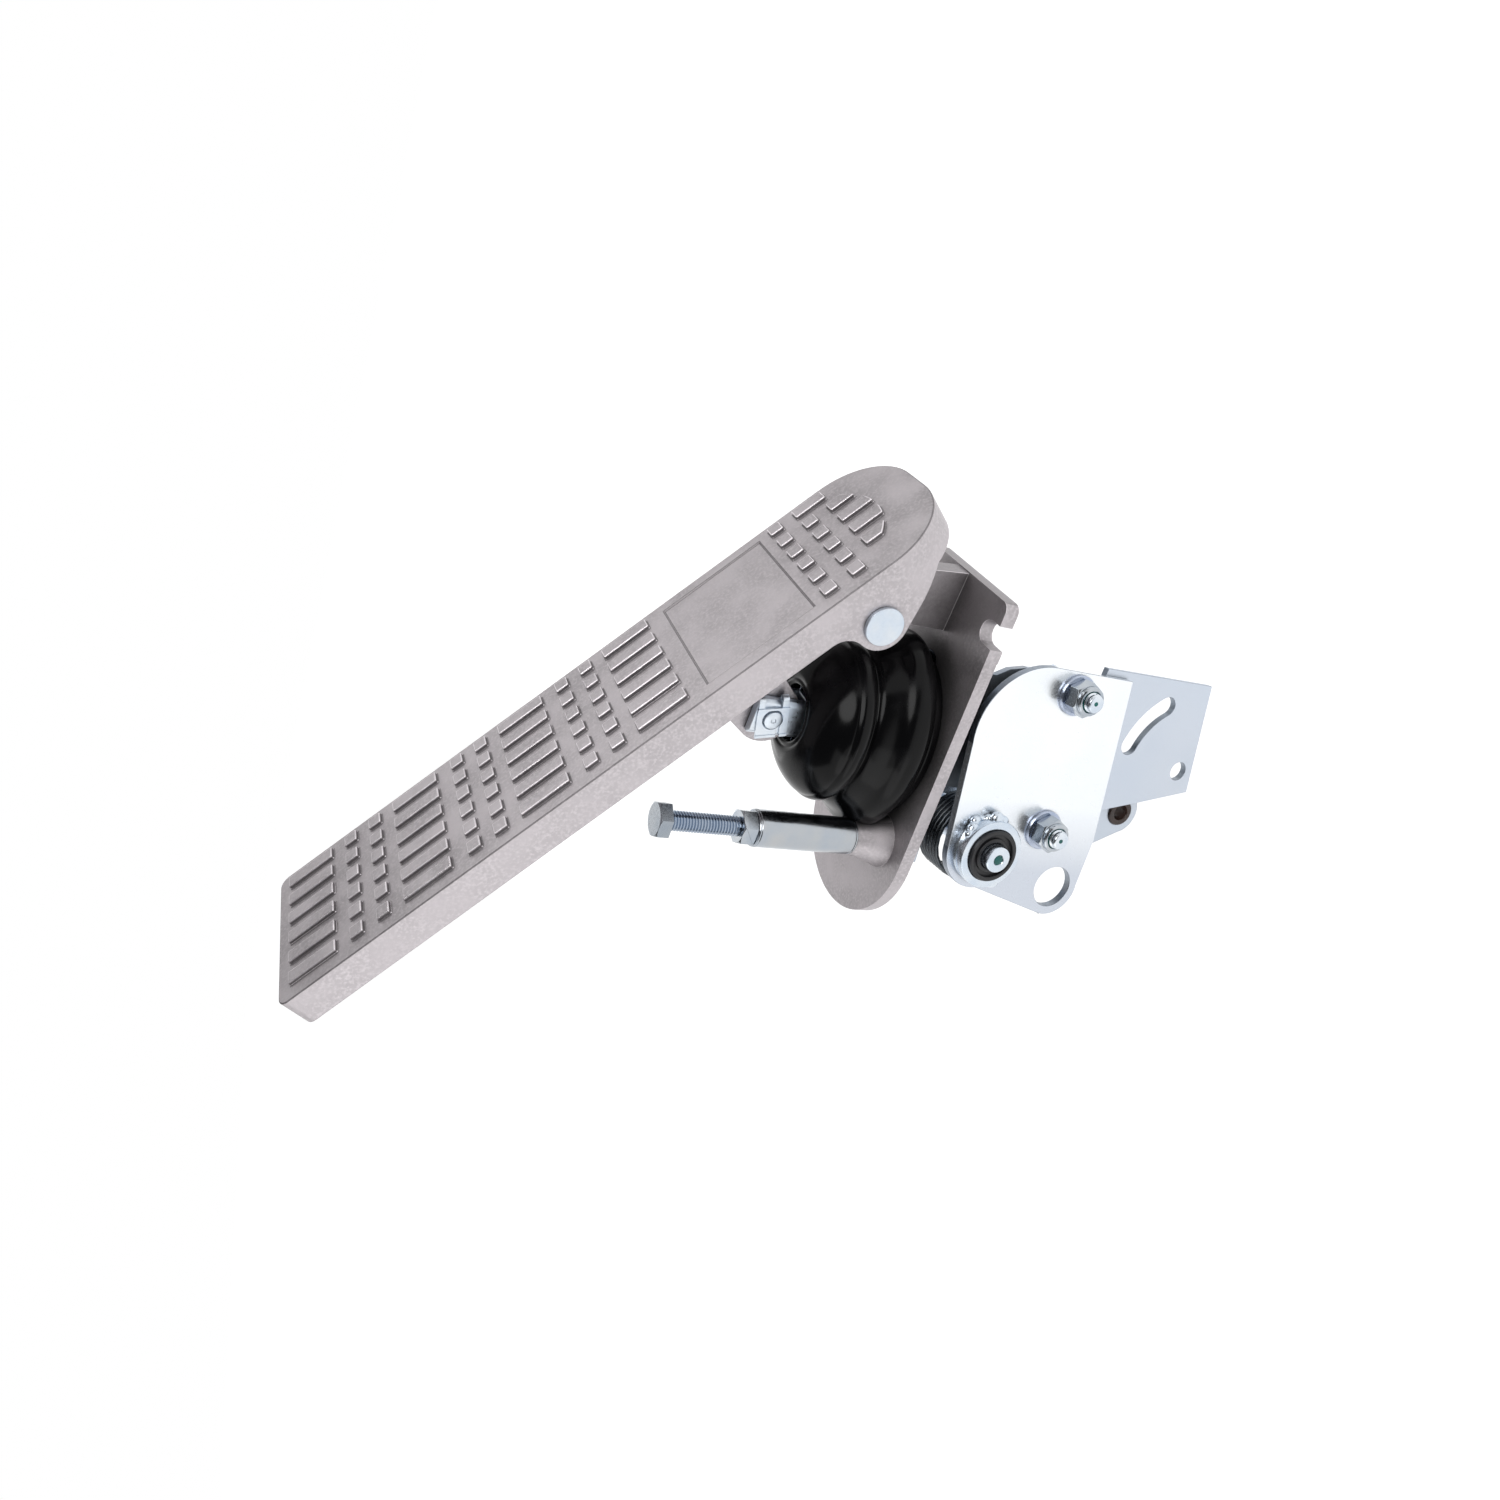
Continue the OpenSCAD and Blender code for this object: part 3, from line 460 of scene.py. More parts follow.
def edge_mask(tree, radius):
    """One where an edge is near, zero on open faces."""
    bevel = node(tree, "ShaderNodeBevel", Radius=radius)
    bevel.samples = 6
    geometry = tree.nodes.new("ShaderNodeNewGeometry")
    dot = tree.nodes.new("ShaderNodeVectorMath")
    dot.operation = "DOT_PRODUCT"
    tree.links.new(bevel.outputs["Normal"], dot.inputs[0])
    tree.links.new(geometry.outputs["True Normal"], dot.inputs[1])
    return spread(tree, dot.outputs["Value"], 0.98, 0.75)


def crevice_mask(tree, distance):
    """One deep in a crevice, zero in the open: where shade is painted into the colour."""
    occlusion = node(tree, "ShaderNodeAmbientOcclusion", Distance=distance)
    occlusion.samples = 6
    return spread(tree, occlusion.outputs["AO"], 0.75, 0.3)


def casting_material(name, colour, grain, mottle=0.12, depth=5 * MM, roughness=0.4):
    """Sand-cast aluminium: a fine grain, soft mottling, painted shade in crevices and painted highlights
    on edges.
    """
    material, tree, shader = new_material(name)
    place = object_coordinates(tree)
    patches = spread(tree, noise(tree, place, 55, 4), 0.35, 0.65)
    body = mix(tree, patches, shade(colour, 1 - mottle), shade(colour, 1 + mottle))
    specks = spread(tree, noise(tree, place, 0.6 / grain, 2), 0.44, 0.72)
    body = mix(tree, specks, body, shade(colour, 1.16))
    # Painted shade: the colour darkens deep in crevices, where shade falls.
    body = mix(tree, crevice_mask(tree, depth), body, shade(colour, 0.22))
    # Painted highlight: the colour lightens along edges, where they catch the light.
    body = mix(tree, edge_mask(tree, 0.5 * MM), body, shade(colour, 1.8))
    tree.links.new(body, shader.inputs["Base Color"])
    shader.inputs["Metallic"].default_value = 0.8
    tree.links.new(spread(tree, patches, 0, 1, roughness, roughness + 0.12), shader.inputs["Roughness"])
    bump(tree, shader, noise(tree, place, 1 / grain, 3, 0.6), 0.5, 0.1 * MM)
    bump(tree, shader, noise(tree, place, 220, 2), 0.25, 0.25 * MM)
    return material


def plated_material(name, colour, roughness=0.24, variation=0.14):
    """Bright zinc plating: a bluish metal with cloudy variation and fine scratches."""
    material, tree, shader = new_material(name)
    place = object_coordinates(tree)
    clouds = spread(tree, noise(tree, place, 90, 3), 0.3, 0.7)
    bluish = (0.9, 0.97, 1.06)
    tinted = tuple(min(1, c * t * (1 - variation)) for c, t in zip(colour, bluish)) + (1,)
    tree.links.new(mix(tree, clouds, tinted, tuple(colour)), shader.inputs["Base Color"])
    shader.inputs["Metallic"].default_value = 1.0
    fine = spread(tree, noise(tree, place, 900, 2), 0.3, 0.7, roughness * 0.8, roughness * 1.25)
    tree.links.new(fine, shader.inputs["Roughness"])
    bump(tree, shader, noise(tree, place, 1400, 2), 0.06, 0.03 * MM)
    bump(tree, shader, noise(tree, place, 160, 2), 0.05, 0.1 * MM)
    return material


def sheet_material(name, colour, roughness, depth=3 * MM, toned=None):
    """Zinc-plated sheet: bright, bluer in soft clouds, with painted shade in corners and a painted
    reflection that darkens it toward the toe.
    """
    material, tree, shader = new_material(name)
    place = object_coordinates(tree)
    clouds = spread(tree, noise(tree, place, 28, 2), 0.3, 0.7)
    bluer = tuple(c * f for c, f in zip(colour, (0.94, 0.96, 0.98))) + (1,)
    body = mix(tree, clouds, bluer, tuple(colour))
    # Painted reflection: the sheet fades to a darker, bluer tone toward the toe.
    if toned:
        along = tree.nodes.new("ShaderNodeSeparateXYZ")
        tree.links.new(place, along.inputs[0])
        starts, ends = (-62 * MM, -92 * MM)
        fade = spread(tree, along.outputs["X"], starts, ends)
        body = mix(tree, fade, body, toned)
    # Painted shade: the colour darkens in corners, where shade falls.
    body = mix(tree, crevice_mask(tree, depth), body, shade(colour, 0.25))
    tree.links.new(body, shader.inputs["Base Color"])
    shader.inputs["Metallic"].default_value = 0.9
    fine = spread(tree, noise(tree, place, 1200, 2), 0.3, 0.7, roughness * 0.9, roughness * 1.15)
    tree.links.new(fine, shader.inputs["Roughness"])
    bump(tree, shader, noise(tree, place, 1600, 2), 0.08, 0.02 * MM)
    return material


def rubber_material(name, colour):
    """Glossy moulded rubber with a faint orange-peel and dusty film."""
    material, tree, shader = new_material(name)
    place = object_coordinates(tree)
    film = spread(tree, noise(tree, place, 60, 4), 0.45, 0.75)
    tree.links.new(mix(tree, film, tuple(colour), shade(colour, 2.2)), shader.inputs["Base Color"])
    tree.links.new(spread(tree, film, 0, 1, 0.16, 0.3), shader.inputs["Roughness"])
    shader.inputs["Specular IOR Level"].default_value = 0.17
    bump(tree, shader, noise(tree, place, 90, 2), 0.1, 0.4 * MM)
    return material


def plastic_material(name, colour, roughness=0.35):
    """Moulded plastic with a faint texture."""
    material, tree, shader = new_material(name)
    place = object_coordinates(tree)
    film = spread(tree, noise(tree, place, 300, 3), 0.35, 0.7)
    tree.links.new(mix(tree, film, tuple(colour), shade(colour, 1.8)), shader.inputs["Base Color"])
    tree.links.new(spread(tree, film, 0, 1, roughness, roughness + 0.15), shader.inputs["Roughness"])
    bump(tree, shader, noise(tree, place, 1500, 2), 0.2, 0.04 * MM)
    return material


made_materials = {}


def materials():
    """Every finish of the pedal, made once."""
    if made_materials:
        return made_materials
    finish = bpy.context.scene.pedal_finish
    zinc = tuple(finish.zinc)
    blue = tuple(finish.blue_zinc)
    made_materials.update(
        casting=casting_material("Cast aluminium", tuple(finish.casting), finish.grain),
        # The base plate paints shade up to 55 mm into its crevices, which darkens its top under the
        # treadle and the boot.
        plate_casting=casting_material(
            "Cast base plate", shade(finish.casting, 0.96), finish.grain, 0.18, 55 * MM
        ),
        # The base plate's faces toward the heel: the same casting at 0.6, painted shade on the side
        # turned from the light.
        plate_end=casting_material("Base plate end", shade(finish.casting, 0.6), finish.grain),
        # Rib flanks: the casting at half brightness, painted shade on the sides turned from the light.
        flank=casting_material("Rib flanks", shade(finish.casting, 0.5), finish.grain, roughness=0.5),
        # Rib and wall edges: the casting at 1.6 with a smoother finish, a painted highlight along the
        # edges.
        rubbed=casting_material(
            "Rubbed rib edges", shade(finish.casting, 1.6), finish.grain, 0.05, roughness=0.26
        ),
        zinc=plated_material("Bright zinc", zinc),
        clip=plated_material("Clip zinc", zinc, 0.34, 0.08),
        head=plated_material("Bolt head zinc", shade(zinc, 0.5), 0.26, 0.14),
        nut=plated_material("Nut zinc", shade(zinc, 0.66), 0.16, 0.2),
        pin=plated_material("Pin head zinc", shade(zinc, 0.96), 0.42, 0.06),
        blue_zinc=plated_material("Blue zinc", blue, 0.2),
        # The near plate fades toward the toe, a painted reflection.
        white_zinc=sheet_material(
            "White zinc sheet", (0.94, 0.96, 0.98, 1), 0.24, toned=(0.61, 0.65, 0.72, 1)
        ),
        sheet_zinc=sheet_material("Blue zinc sheet", (0.62, 0.665, 0.735, 1), 0.34),
        # Plate edges: darker zinc, partly the real sheared edges and partly a painted shade line along
        # the plates.
        sheared=plated_material("Sheared zinc edges", (0.34, 0.37, 0.41, 1), 0.4, 0.2),
        # The channel paints shade up to 14 mm into its corners, which darkens it behind the plates.
        channel=sheet_material("Channel zinc sheet", (0.6, 0.645, 0.71, 1), 0.34, 14 * MM),
        dark_zinc=plated_material("Dark zinc", shade(blue, 0.8), 0.18, 0.3),
        polished=plated_material("Polished steel", (0.45, 0.46, 0.47, 1), 0.21, 0.05),
        bronze=plated_material("Sintered bronze", (0.45, 0.3, 0.13, 1), 0.4),
        rubber=rubber_material("Black rubber", tuple(finish.rubber)),
        bush=plastic_material("Black bush plastic", (0.012, 0.012, 0.014, 1)),
        spring=plated_material("Dark oiled spring wire", (0.085, 0.09, 0.095, 1), 0.3),
        nylon=plastic_material("Teal nylon", (0.003, 0.11, 0.1, 1), 0.3),
        brown=plastic_material("Brown bush plastic", (0.032, 0.016, 0.012, 1), 0.22),
        lilac=plated_material("Lilac passivated zinc", (0.5, 0.54, 0.64, 1), 0.24, 0.2),
    )
    return made_materials


# Casting


class PEDAL_OT_treadle(bpy.types.Operator):
    """Treadle casting with its ears, ribs and blank recess"""

    bl_idname = "pedal.treadle"
    bl_label = "Treadle"

    def execute(self, context):
        piece = softened("treadle", "pedal", materials()["casting"], 0.45 * MM, 3)
        tread = Vector((math.sin(TREADLE_TILT), 0, math.cos(TREADLE_TILT)))
        flats = [face for face in piece.data.polygons if face.normal.dot(tread) > 0.999]
        level = max(flats, key=lambda face: face.area).center.dot(tread)
        foot, middle, top = (0.02 * MM, 0.9 * MM, 1.75 * MM)

        # The rib flanks, which get painted shade
        def flank(face):
            height, up = face.center.dot(tread) - level, face.normal.dot(tread)
            return foot < height < top and (up < 0.3 or (up < 0.97 and height < middle))

        # The bevelled top edges of the ribs, which get a painted highlight
        def rubbed(face):
            height, up = face.center.dot(tread) - level, face.normal.dot(tread)
            return height > middle and 0.3 <= up < 0.985

        finish_faces(piece, materials()["flank"], flank)
        finish_faces(piece, materials()["rubbed"], rubbed)
        return {"FINISHED"}


class PEDAL_OT_base_plate(bpy.types.Operator):
    """Base plate casting with the stop boss, the hinge wall and its barrel"""

    bl_idname = "pedal.base_plate"
    bl_label = "Base plate"

    def execute(self, context):
        piece = softened(
            "base_plate", "base", materials()["plate_casting"], 0.5 * MM, 3, clamp=True
        )
        low, high = (5.5 * MM, 40 * MM)

        # The faces that turn to the heel, which get painted shade
        def heel_end(face):
            return face.normal.x > 0.9

        # The slanted edges of the hinge wall, which get a painted highlight
        def wall_edge(face):
            slanted = -0.95 < face.normal.y < -0.3
            return slanted and low < face.center.z < high and face.center.x > HINGE_WALL_X

        finish_faces(piece, materials()["plate_end"], heel_end)
        finish_faces(piece, materials()["rubbed"], wall_edge)
        return {"FINISHED"}


class PEDAL_OT_hinge(bpy.types.Operator):
    """Hinge pin, its clip and its bushes"""

    bl_idname = "pedal.hinge"
    bl_label = "Hinge"

    def execute(self, context):
        softened("hinge_pin", "pedal", materials()["pin"], 0.35 * MM, 3)
        softened("hinge_clip", "pedal", materials()["dark_zinc"], 0.15 * MM)
        softened("hinge_bush_near", "base", materials()["bronze"], 0.25 * MM)
        softened("hinge_bush_far", "base", materials()["bronze"], 0.25 * MM)
        return {"FINISHED"}


# Stop


def thread(name, matrix, length):
    """A threaded rod that rises along Z from the matrix's origin."""
    size = bpy.context.scene.pedal_thread
    turns = int(length * MM / size.pitch)
    tooth = [
        (size.root, 0), (size.root, 0.12), (size.outer, 0.44), (size.outer, 0.56),
        (size.root, 0.88), (size.root, 1),
    ]
    piece = outline(name, [(r, z * size.pitch) for r, z in tooth])
    wind(piece, 36, screw_offset=size.pitch, iterations=turns - 1)
    put(piece, matrix)
    smooth(piece, 50)
    return piece


class PEDAL_OT_stop(bpy.types.Operator):
    """Stop sleeve, lock nut and threaded stop bolt"""

    bl_idname = "pedal.stop"
    bl_label = "Stop"

    def execute(self, context):
        low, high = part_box("stop_sleeve")
        nut_low, nut_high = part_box("stop_nut")
        bolt_low, bolt_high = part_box("stop_bolt")
        length = (high.z - low.z) / MM
        side = [
            (4, 0), (7.2, 0), (7.5, 0.3), (7.5, 0.8), (7.25, 1.0), (7.25, 1.4), (7.6, 1.7),
            (7.6, length - 1.3), (7.35, length - 1.0), (7.35, length - 0.6), (7.5, length - 0.4),
            (7.2, length), (4, length), (4, 0),
        ]
        sleeve = turned("stop_sleeve_piece", side, self.at(low.z), 96, 25)
        dress(sleeve, materials()["polished"], "base", ["stop_sleeve"])
        nut = hexagon("stop_nut_piece", (nut_high.z - nut_low.z) / MM, self.at(nut_low.z))
        dress(nut, materials()["nut"], "base", ["stop_nut"])
        head_z = bolt_high.z - HEAD_HEIGHT * MM
        head = hexagon("stop_head", HEAD_HEIGHT, self.at(head_z), bottom=False)
        collar = turned("stop_collar", [(0, -0.4), (5.6, -0.4), (5.8, 0), (0, 0.2)], self.at(head_z))
        shank_z = nut_low.z - 2 * MM
        rise = (head_z - shank_z) / MM + 0.9
        rod = thread("stop_thread", self.at(shank_z), rise)
        hidden_length = (shank_z - bolt_low.z) / MM
        hidden = turned("stop_end", [
            (0, 0), (3.4, 0), (4, 0.8), (4, hidden_length), (0, 30),
        ], self.at(bolt_low.z))
        bolt = joined("stop_bolt_piece", rod, head, collar, hidden)
        dress(bolt, materials()["blue_zinc"], "base", ["stop_bolt"])
        finish_faces(bolt, materials()["head"], lambda face: face.center.z > head_z - 0.5 * MM)
        return {"FINISHED"}

    def at(self, z):
        """A place on the stop's axis."""
        return Matrix.Translation((STOP_AXIS.x, STOP_AXIS.y, z))


# Boot


class PEDAL_OT_boot(bpy.types.Operator):
    """Rubber boot with two bulges and a thick foot"""

    bl_idname = "pedal.boot"
    bl_label = "Boot"

    def execute(self, context):
        bpy.ops.object.select_all(action="DESELECT")
        z, width, extra, lean = BOOT_RINGS[0]
        bpy.ops.mesh.primitive_circle_add(
            vertices=64, radius=width * MM, location=(-lean * MM, 0, z * MM)
        )
        piece = bpy.context.object
        piece.name = "boot_piece"
        apply_place(piece)
        bpy.ops.object.mode_set(mode="EDIT")
        bpy.ops.mesh.select_all(action="SELECT")
        for (z0, w0, e0, l0), (z1, w1, e1, l1) in zip(BOOT_RINGS, BOOT_RINGS[1:]):
            step = ((l0 - l1) * MM, 0, (z1 - z0) * MM)
            bpy.ops.mesh.extrude_edges_move(TRANSFORM_OT_translate={"value": step})
            bpy.ops.transform.resize(
                value=((w1 + e1) / (w0 + e0), w1 / w0, 1), center_override=(-l1 * MM, 0, z1 * MM)
            )
        bpy.ops.mesh.select_all(action="SELECT")
        bpy.ops.mesh.normals_make_consistent(inside=False)
        bpy.ops.object.mode_set(mode="OBJECT")
        put(piece, Matrix.Translation(BOOT_CENTRE))
        add_modifier(piece, "SUBSURF", levels=1, render_levels=1)
        add_modifier(piece, "SOLIDIFY", thickness=1.5 * MM, offset=-1)
        pocket = turned("boot_pocket", [
            (0, 0), (12.4, 0), (12.3, 6), (7.9, 20.6), (7.9, 30), (0, 30),
        ], Matrix.Translation(STOP_AXIS))
        cut(piece, pocket)
        smooth(piece, 50)
        dress(piece, materials()["rubber"], "base", ["rubber_boot"])
        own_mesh(piece)
        return {"FINISHED"}


# Linkage


class PEDAL_OT_linkage(bpy.types.Operator):
    """Push rod with its forks, pins, clips and nuts"""

    bl_idname = "pedal.linkage"
    bl_label = "Linkage"

    def execute(self, context):
        for name in ("upper_fork", "lower_fork"):
            softened(name, "rod", materials()["clip"], 0.5 * MM, 3)
        for name, width in (
            ("lower_pin", 0.2), ("lower_clip", 0.2), ("rod_nut_upper", 0.35), ("rod_nut_lower", 0.35),
        ):
            softened(name, "rod", materials()["zinc"], width * MM)
        softened("push_rod", "rod", materials()["blue_zinc"], 0.4 * MM)
        low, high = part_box("clevis_pin")
        centre = (low + high) / 2
        place = Matrix.Translation((centre.x, 0, centre.z)) @ Matrix.Rotation(math.radians(90), 4, "X")
        self.pin(place)
        self.clip(place @ Matrix.Rotation(math.radians(13), 4, "Z"))
        return {"FINISHED"}

    def pin(self, place):
        """The clevis pin, with a dimple in its near end."""
        pin = turned("clevis_pin_piece", [
            (0, -10), (5.4, -10), (6, -9.4), (6, -8.6), (5.4, -8.2), (4, -8.2), (3.9, 8.8),
            (3.7, 9.5), (3.2, 9.7), (1.1, 9.75), (0.8, 9.4), (0, 9.3),
        ], place, 48, 25)
        dress(pin, materials()["clip"], "rod", ["clevis_pin"])

    def clip(self, place):
        """The spring clip: a slit plate with a fold along its top and bottom and two curled tabs."""
        half = 6.7
        slit = (-3.4, -1.9)
        plate = self.strip("clevis_clip_piece", (-7.6, 5.2), (-half, half), (8.05, 8.85))
        cut(plate, turned("clip_hole", [(0, 0), (4.35, 0), (4.35, 12), (0, 12)], steps=48))
        cut(plate, self.strip("clip_slit", (-9.0, -2.6), slit, (0, 12)))
        parts = [plate, self.strip("clip_fold", (4.3, 5.3), (-half, half), (8.3, 9.25))]
        for along in ((-half, slit[0]), (slit[1], half)):
            parts.append(self.strip("clip_fold", (-7.8, -6.6), along, (8.3, 9.2)))
        for side in (5.1, -4.7):
            parts.append(self.strip("clip_tab", (4.8, 8.1), (side - 1.3, side + 1.3), (8.05, 8.8)))
            band = ((1.05, -1.3), (1.85, -1.3), (1.85, 1.3), (1.05, 1.3), (1.05, -1.3))
            curl = outline("clip_curl", [(r * MM, z * MM) for r, z in band])
            wind(curl, 24, screw_offset=0, angle=math.radians(210))
            turn = Matrix.Rotation(math.radians(90), 4, "X") @ Matrix.Rotation(math.radians(-120), 4, "Z")
            parts.append(put(curl, Matrix.Translation((8.1 * MM, side * MM, 7.0 * MM)) @ turn))
        clip = joined("clevis_clip_piece", *parts)
        round_edges(clip, 0.14 * MM, 2, 40)
        put(clip, place)
        dress(clip, materials()["clip"], "rod", ["clevis_clip"])

    def strip(self, name, across, along, depth):
        """A flat strip between two places on each axis, in millimetres."""
        bpy.ops.object.select_all(action="DESELECT")
        centre = [(a + b) / 2 * MM for a, b in (across, along, depth)]
        bpy.ops.mesh.primitive_cube_add(size=MM, location=centre)
        piece = bpy.context.object
        piece.name = name
        piece.scale = [b - a for a, b in (across, along, depth)]
        apply_place(piece)
        return piece


# Bracket


class PEDAL_OT_lever(bpy.types.Operator):
    """Lever shaft, input lever and collar"""

    bl_idname = "pedal.lever"
    bl_label = "Lever"

    def execute(self, context):
        shaft = turned("lever_shaft_piece", [
            (0, -SHAFT_DEPTH), (4.6, -SHAFT_DEPTH), (5.25, 0.6 - SHAFT_DEPTH), (5.25, 5.5),
            (5.55, 5.8), (5.55, 10.0), (5.4, 10.4), (4.9, 10.7), (2.4, 10.8), (2.1, 10.5),
            (2.0, 10.2), (0, 10.2),
        ], shaft_place(), 64, 30)
        dress(shaft, materials()["zinc"], "lever", ["lever_shaft"])
        mark = turned("shaft_mark", [
            (0, 10.1), (1.95, 10.1), (1.95, 10.5), (1.6, 10.7), (0, 10.75),
        ], shaft_place(), 32, 60)
        dress(mark, materials()["nylon"], "lever")
        softened("input_lever", "lever", materials()["zinc"], 0.4 * MM)
        softened("lever_collar", "lever", materials()["zinc"], 0.4 * MM)
        return {"FINISHED"}


class PEDAL_OT_bearings(bpy.types.Operator):
    """Black shaft bushes in their welded rings"""

    bl_idname = "pedal.bearings"
    bl_label = "Bearings"

    def execute(self, context):
        softened("shaft_bush_far", "base", materials()["bush"], 0.4 * MM, 3)
        softened("bearing_ring_far", "base", materials()["zinc"], 0.5 * MM, 3)
        self.near_bush()
        self.near_ring()
        return {"FINISHED"}

    def near_bush(self):
        """The near bush, with a groove in its face."""
        face = BUSH_FACE
        bush = turned("shaft_bush_near_piece", [
            (5.75, -3.4), (9.75, -3.4), (9.75, 0.3), (11.0, 0.3), (11.0, face - 0.4),
            (10.6, face), (9.6, face), (9.2, face - 0.3), (9.1, face - 1.6), (7.6, face - 1.6),
            (7.5, face - 0.7), (7.1, face - 0.4), (6.2, face - 0.4), (5.75, face - 0.8),
            (5.75, -3.4),
        ], shaft_place(), 96, 25)
        dress(bush, materials()["bush"], "base", ["shaft_bush_near"])

    def near_ring(self):
        """The near ring with its two welds."""
        top = RING_HEIGHT
        place = shaft_place()
        ring = turned("bearing_ring_near_piece", [
            (11.05, 0), (14.3, 0), (14.1, 0.5), (13.6, 1.0), (13.7, 1.5), (14.5, 2.1),
            (14.5, top - 0.6), (14.3, top - 0.2), (13.9, top), (11.4, top), (11.05, top - 0.3),
            (11.05, 0),
        ], place, 96, 30)
        dress(ring, materials()["zinc"], "base", ["bearing_ring_near"])
        for number, (start, end, out) in enumerate(((-8, 60, 1.8), (-156, -118, 0.9))):
            self.weld("bearing_weld_%d" % (number + 1), place, start, end, out)

    def weld(self, name, place, start, end, out):
        """A rough weld bead along the ring's edge, between two angles."""
        beads = []
        for i in range(BEADS_IN_WELD):
            angle = math.radians(start + (end - start) * i / (BEADS_IN_WELD - 1))
            radius = (14.2 + 0.5 * math.sin(i * 2.1)) * MM
            height = (1.9 + out * math.cos(i)) * MM
            bpy.ops.object.select_all(action="DESELECT")
            bpy.ops.mesh.primitive_uv_sphere_add(
                segments=24, ring_count=14, radius=(2.5 + 0.6 * math.sin(i * 1.7)) * MM,
                location=(radius * math.cos(angle), radius * math.sin(angle), height),
                scale=(1.0, 1.0, 0.75),
            )
            beads.append(bpy.context.object)
        bead = joined(name, *beads)
        apply_place(bead)
        add_modifier(bead, "REMESH", mode="VOXEL", voxel_size=0.3 * MM)
        add_modifier(bead, "SMOOTH", factor=0.6, iterations=5)
        put(bead, place)
        smooth(bead, 80)
        dress(bead, materials()["zinc"], "base")


class PEDAL_OT_plates(bpy.types.Operator):
    """Side plate, adjuster plate and folded channel of the lever bracket"""

    bl_idname = "pedal.plates"
    bl_label = "Bracket plates"

    def execute(self, context):
        across = BRACKET_TURN @ Vector((0, 1, 0))
        smallest_side = 40e-6

        # The small edge faces of the plates, which get the darker sheared finish with its painted shade
        # line
        def sheared(face):
            return abs(face.normal.dot(across)) < 0.93 and face.area < smallest_side

        for name, finish, slot, width, segments in (
            ("near_plate", "white_zinc", "plate_white", 0.35, 3),
            ("adjuster_plate", "sheet_zinc", "plate_blue", 0.3, 3),
            ("bracket_channel", "channel", "zinc_white", 0.3, 2),
        ):
            plate = softened(name, "base", materials()[finish], width * MM, segments)
            finish_faces(plate, materials()["sheared"], sheared)
        softened("lug_bush", "base", materials()["brown"], 0.5 * MM, 3)
        return {"FINISHED"}


class PEDAL_OT_fasteners(bpy.types.Operator):
    """Bolts, nuts, washers, spacers and screws of the lever bracket"""

    bl_idname = "pedal.fasteners"
    bl_label = "Fasteners"

    def execute(self, context):
        for side, (x, z) in BOLT_PLACES.items():
            self.bolt_and_nut(side, toward_viewer(x, NEAR_FACE, z))
            softened("spacer_" + side, "base", materials()["blue_zinc"], 0.4 * MM)
        for place in ("heel", "toe"):
            softened("channel_screw_" + place, "base", materials()["dark_zinc"], 0.2 * MM)
        return {"FINISHED"}

    def bolt_and_nut(self, side, place):
        """One bolt with its washer and its nut, whose collar grips a nylon ring."""
        thick = WASHER_HEIGHT
        washer = turned("washer_%s_piece" % side, [
            (4.25, 0), (8.4, 0), (8.5, 0.3), (8.5, thick - 0.4), (8.1, thick), (4.25, thick), (4.25, 0),
        ], place, 72, 30)
        dress(washer, materials()["lilac"], "base", ["washer_" + side])
        lift = place @ Matrix.Translation((0, 0, WASHER_HEIGHT * MM))
        body = hexagon("nut_body", NUT_HEIGHT, lift)
        collar = turned("nut_collar", [
            (4.2, 5.8), (6.1, 5.8), (6.1, 7.1), (5.9, 7.6), (5.4, 7.95), (4.7, 8), (4.4, 7.8),
            (4.35, 7.2), (4.2, 7.1), (4.2, 5.8),
        ], lift, 72, 30)
        nut = joined("nut_%s_piece" % side, body, collar)
        dress(nut, materials()["nut"], "base", ["nut_" + side])
        ring = turned("nut_ring_" + side, [
            (3.5, 6.2), (4.4, 6.2), (4.4, 7.4), (4.2, 7.5), (3.9, 7.4),
        ], lift, 48, 60)
        dress(ring, materials()["nylon"], "base")
        tip = thread("bolt_tip", place @ Matrix.Translation((0, 0, 6.2 * MM)), 5)
        end = turned("bolt_end", [
            (0, 10.6), (3.4, 10.9), (3.75, 11.3), (3.6, 12.0), (3.1, 12.4), (1.8, 12.58), (0, 12.6),
        ], place, 48, 40)
        mark = turned("stud_mark_" + side, [
            (0, 12.4), (1.0, 12.4), (0.9, 12.66), (0, 12.7),
        ], place @ Matrix.Translation((0.2 * MM, 0.6 * MM, 0)), 24, 60)
        dress(mark, materials()["nylon"], "base")
        shank = turned("bolt_shank", [(0, -14), (4, -14), (4, 6.4), (0, 6.4)], place, 48, 30)
        depth = NEAR_PLATE + ADJUSTER_PLATE + SPACER + CHEEK + HEAD_HEIGHT
        behind = place @ Matrix.Translation((0, 0, -depth * MM))
        head = hexagon("bolt_head", HEAD_HEIGHT, behind, top=False)
        bolt = joined("bolt_%s_piece" % side, tip, end, shank, head)
        dress(bolt, materials()["zinc"], "base", ["bolt_" + side])


class PEDAL_OT_spring(bpy.types.Operator):
    """Black return spring round the lever shaft"""

    bl_idname = "pedal.spring"
    bl_label = "Return spring"

    def execute(self, context):
        piece = copy_node("return_spring")
        smooth(piece, 60)
        dress(piece, materials()["spring"], "base", ["return_spring"])
        return {"FINISHED"}


# Stage


def facing(place, aim, axis):
    """The turn that points an axis from a place to an aim."""
    return (Vector(aim) - Vector(place)).to_track_quat(axis, "Y")


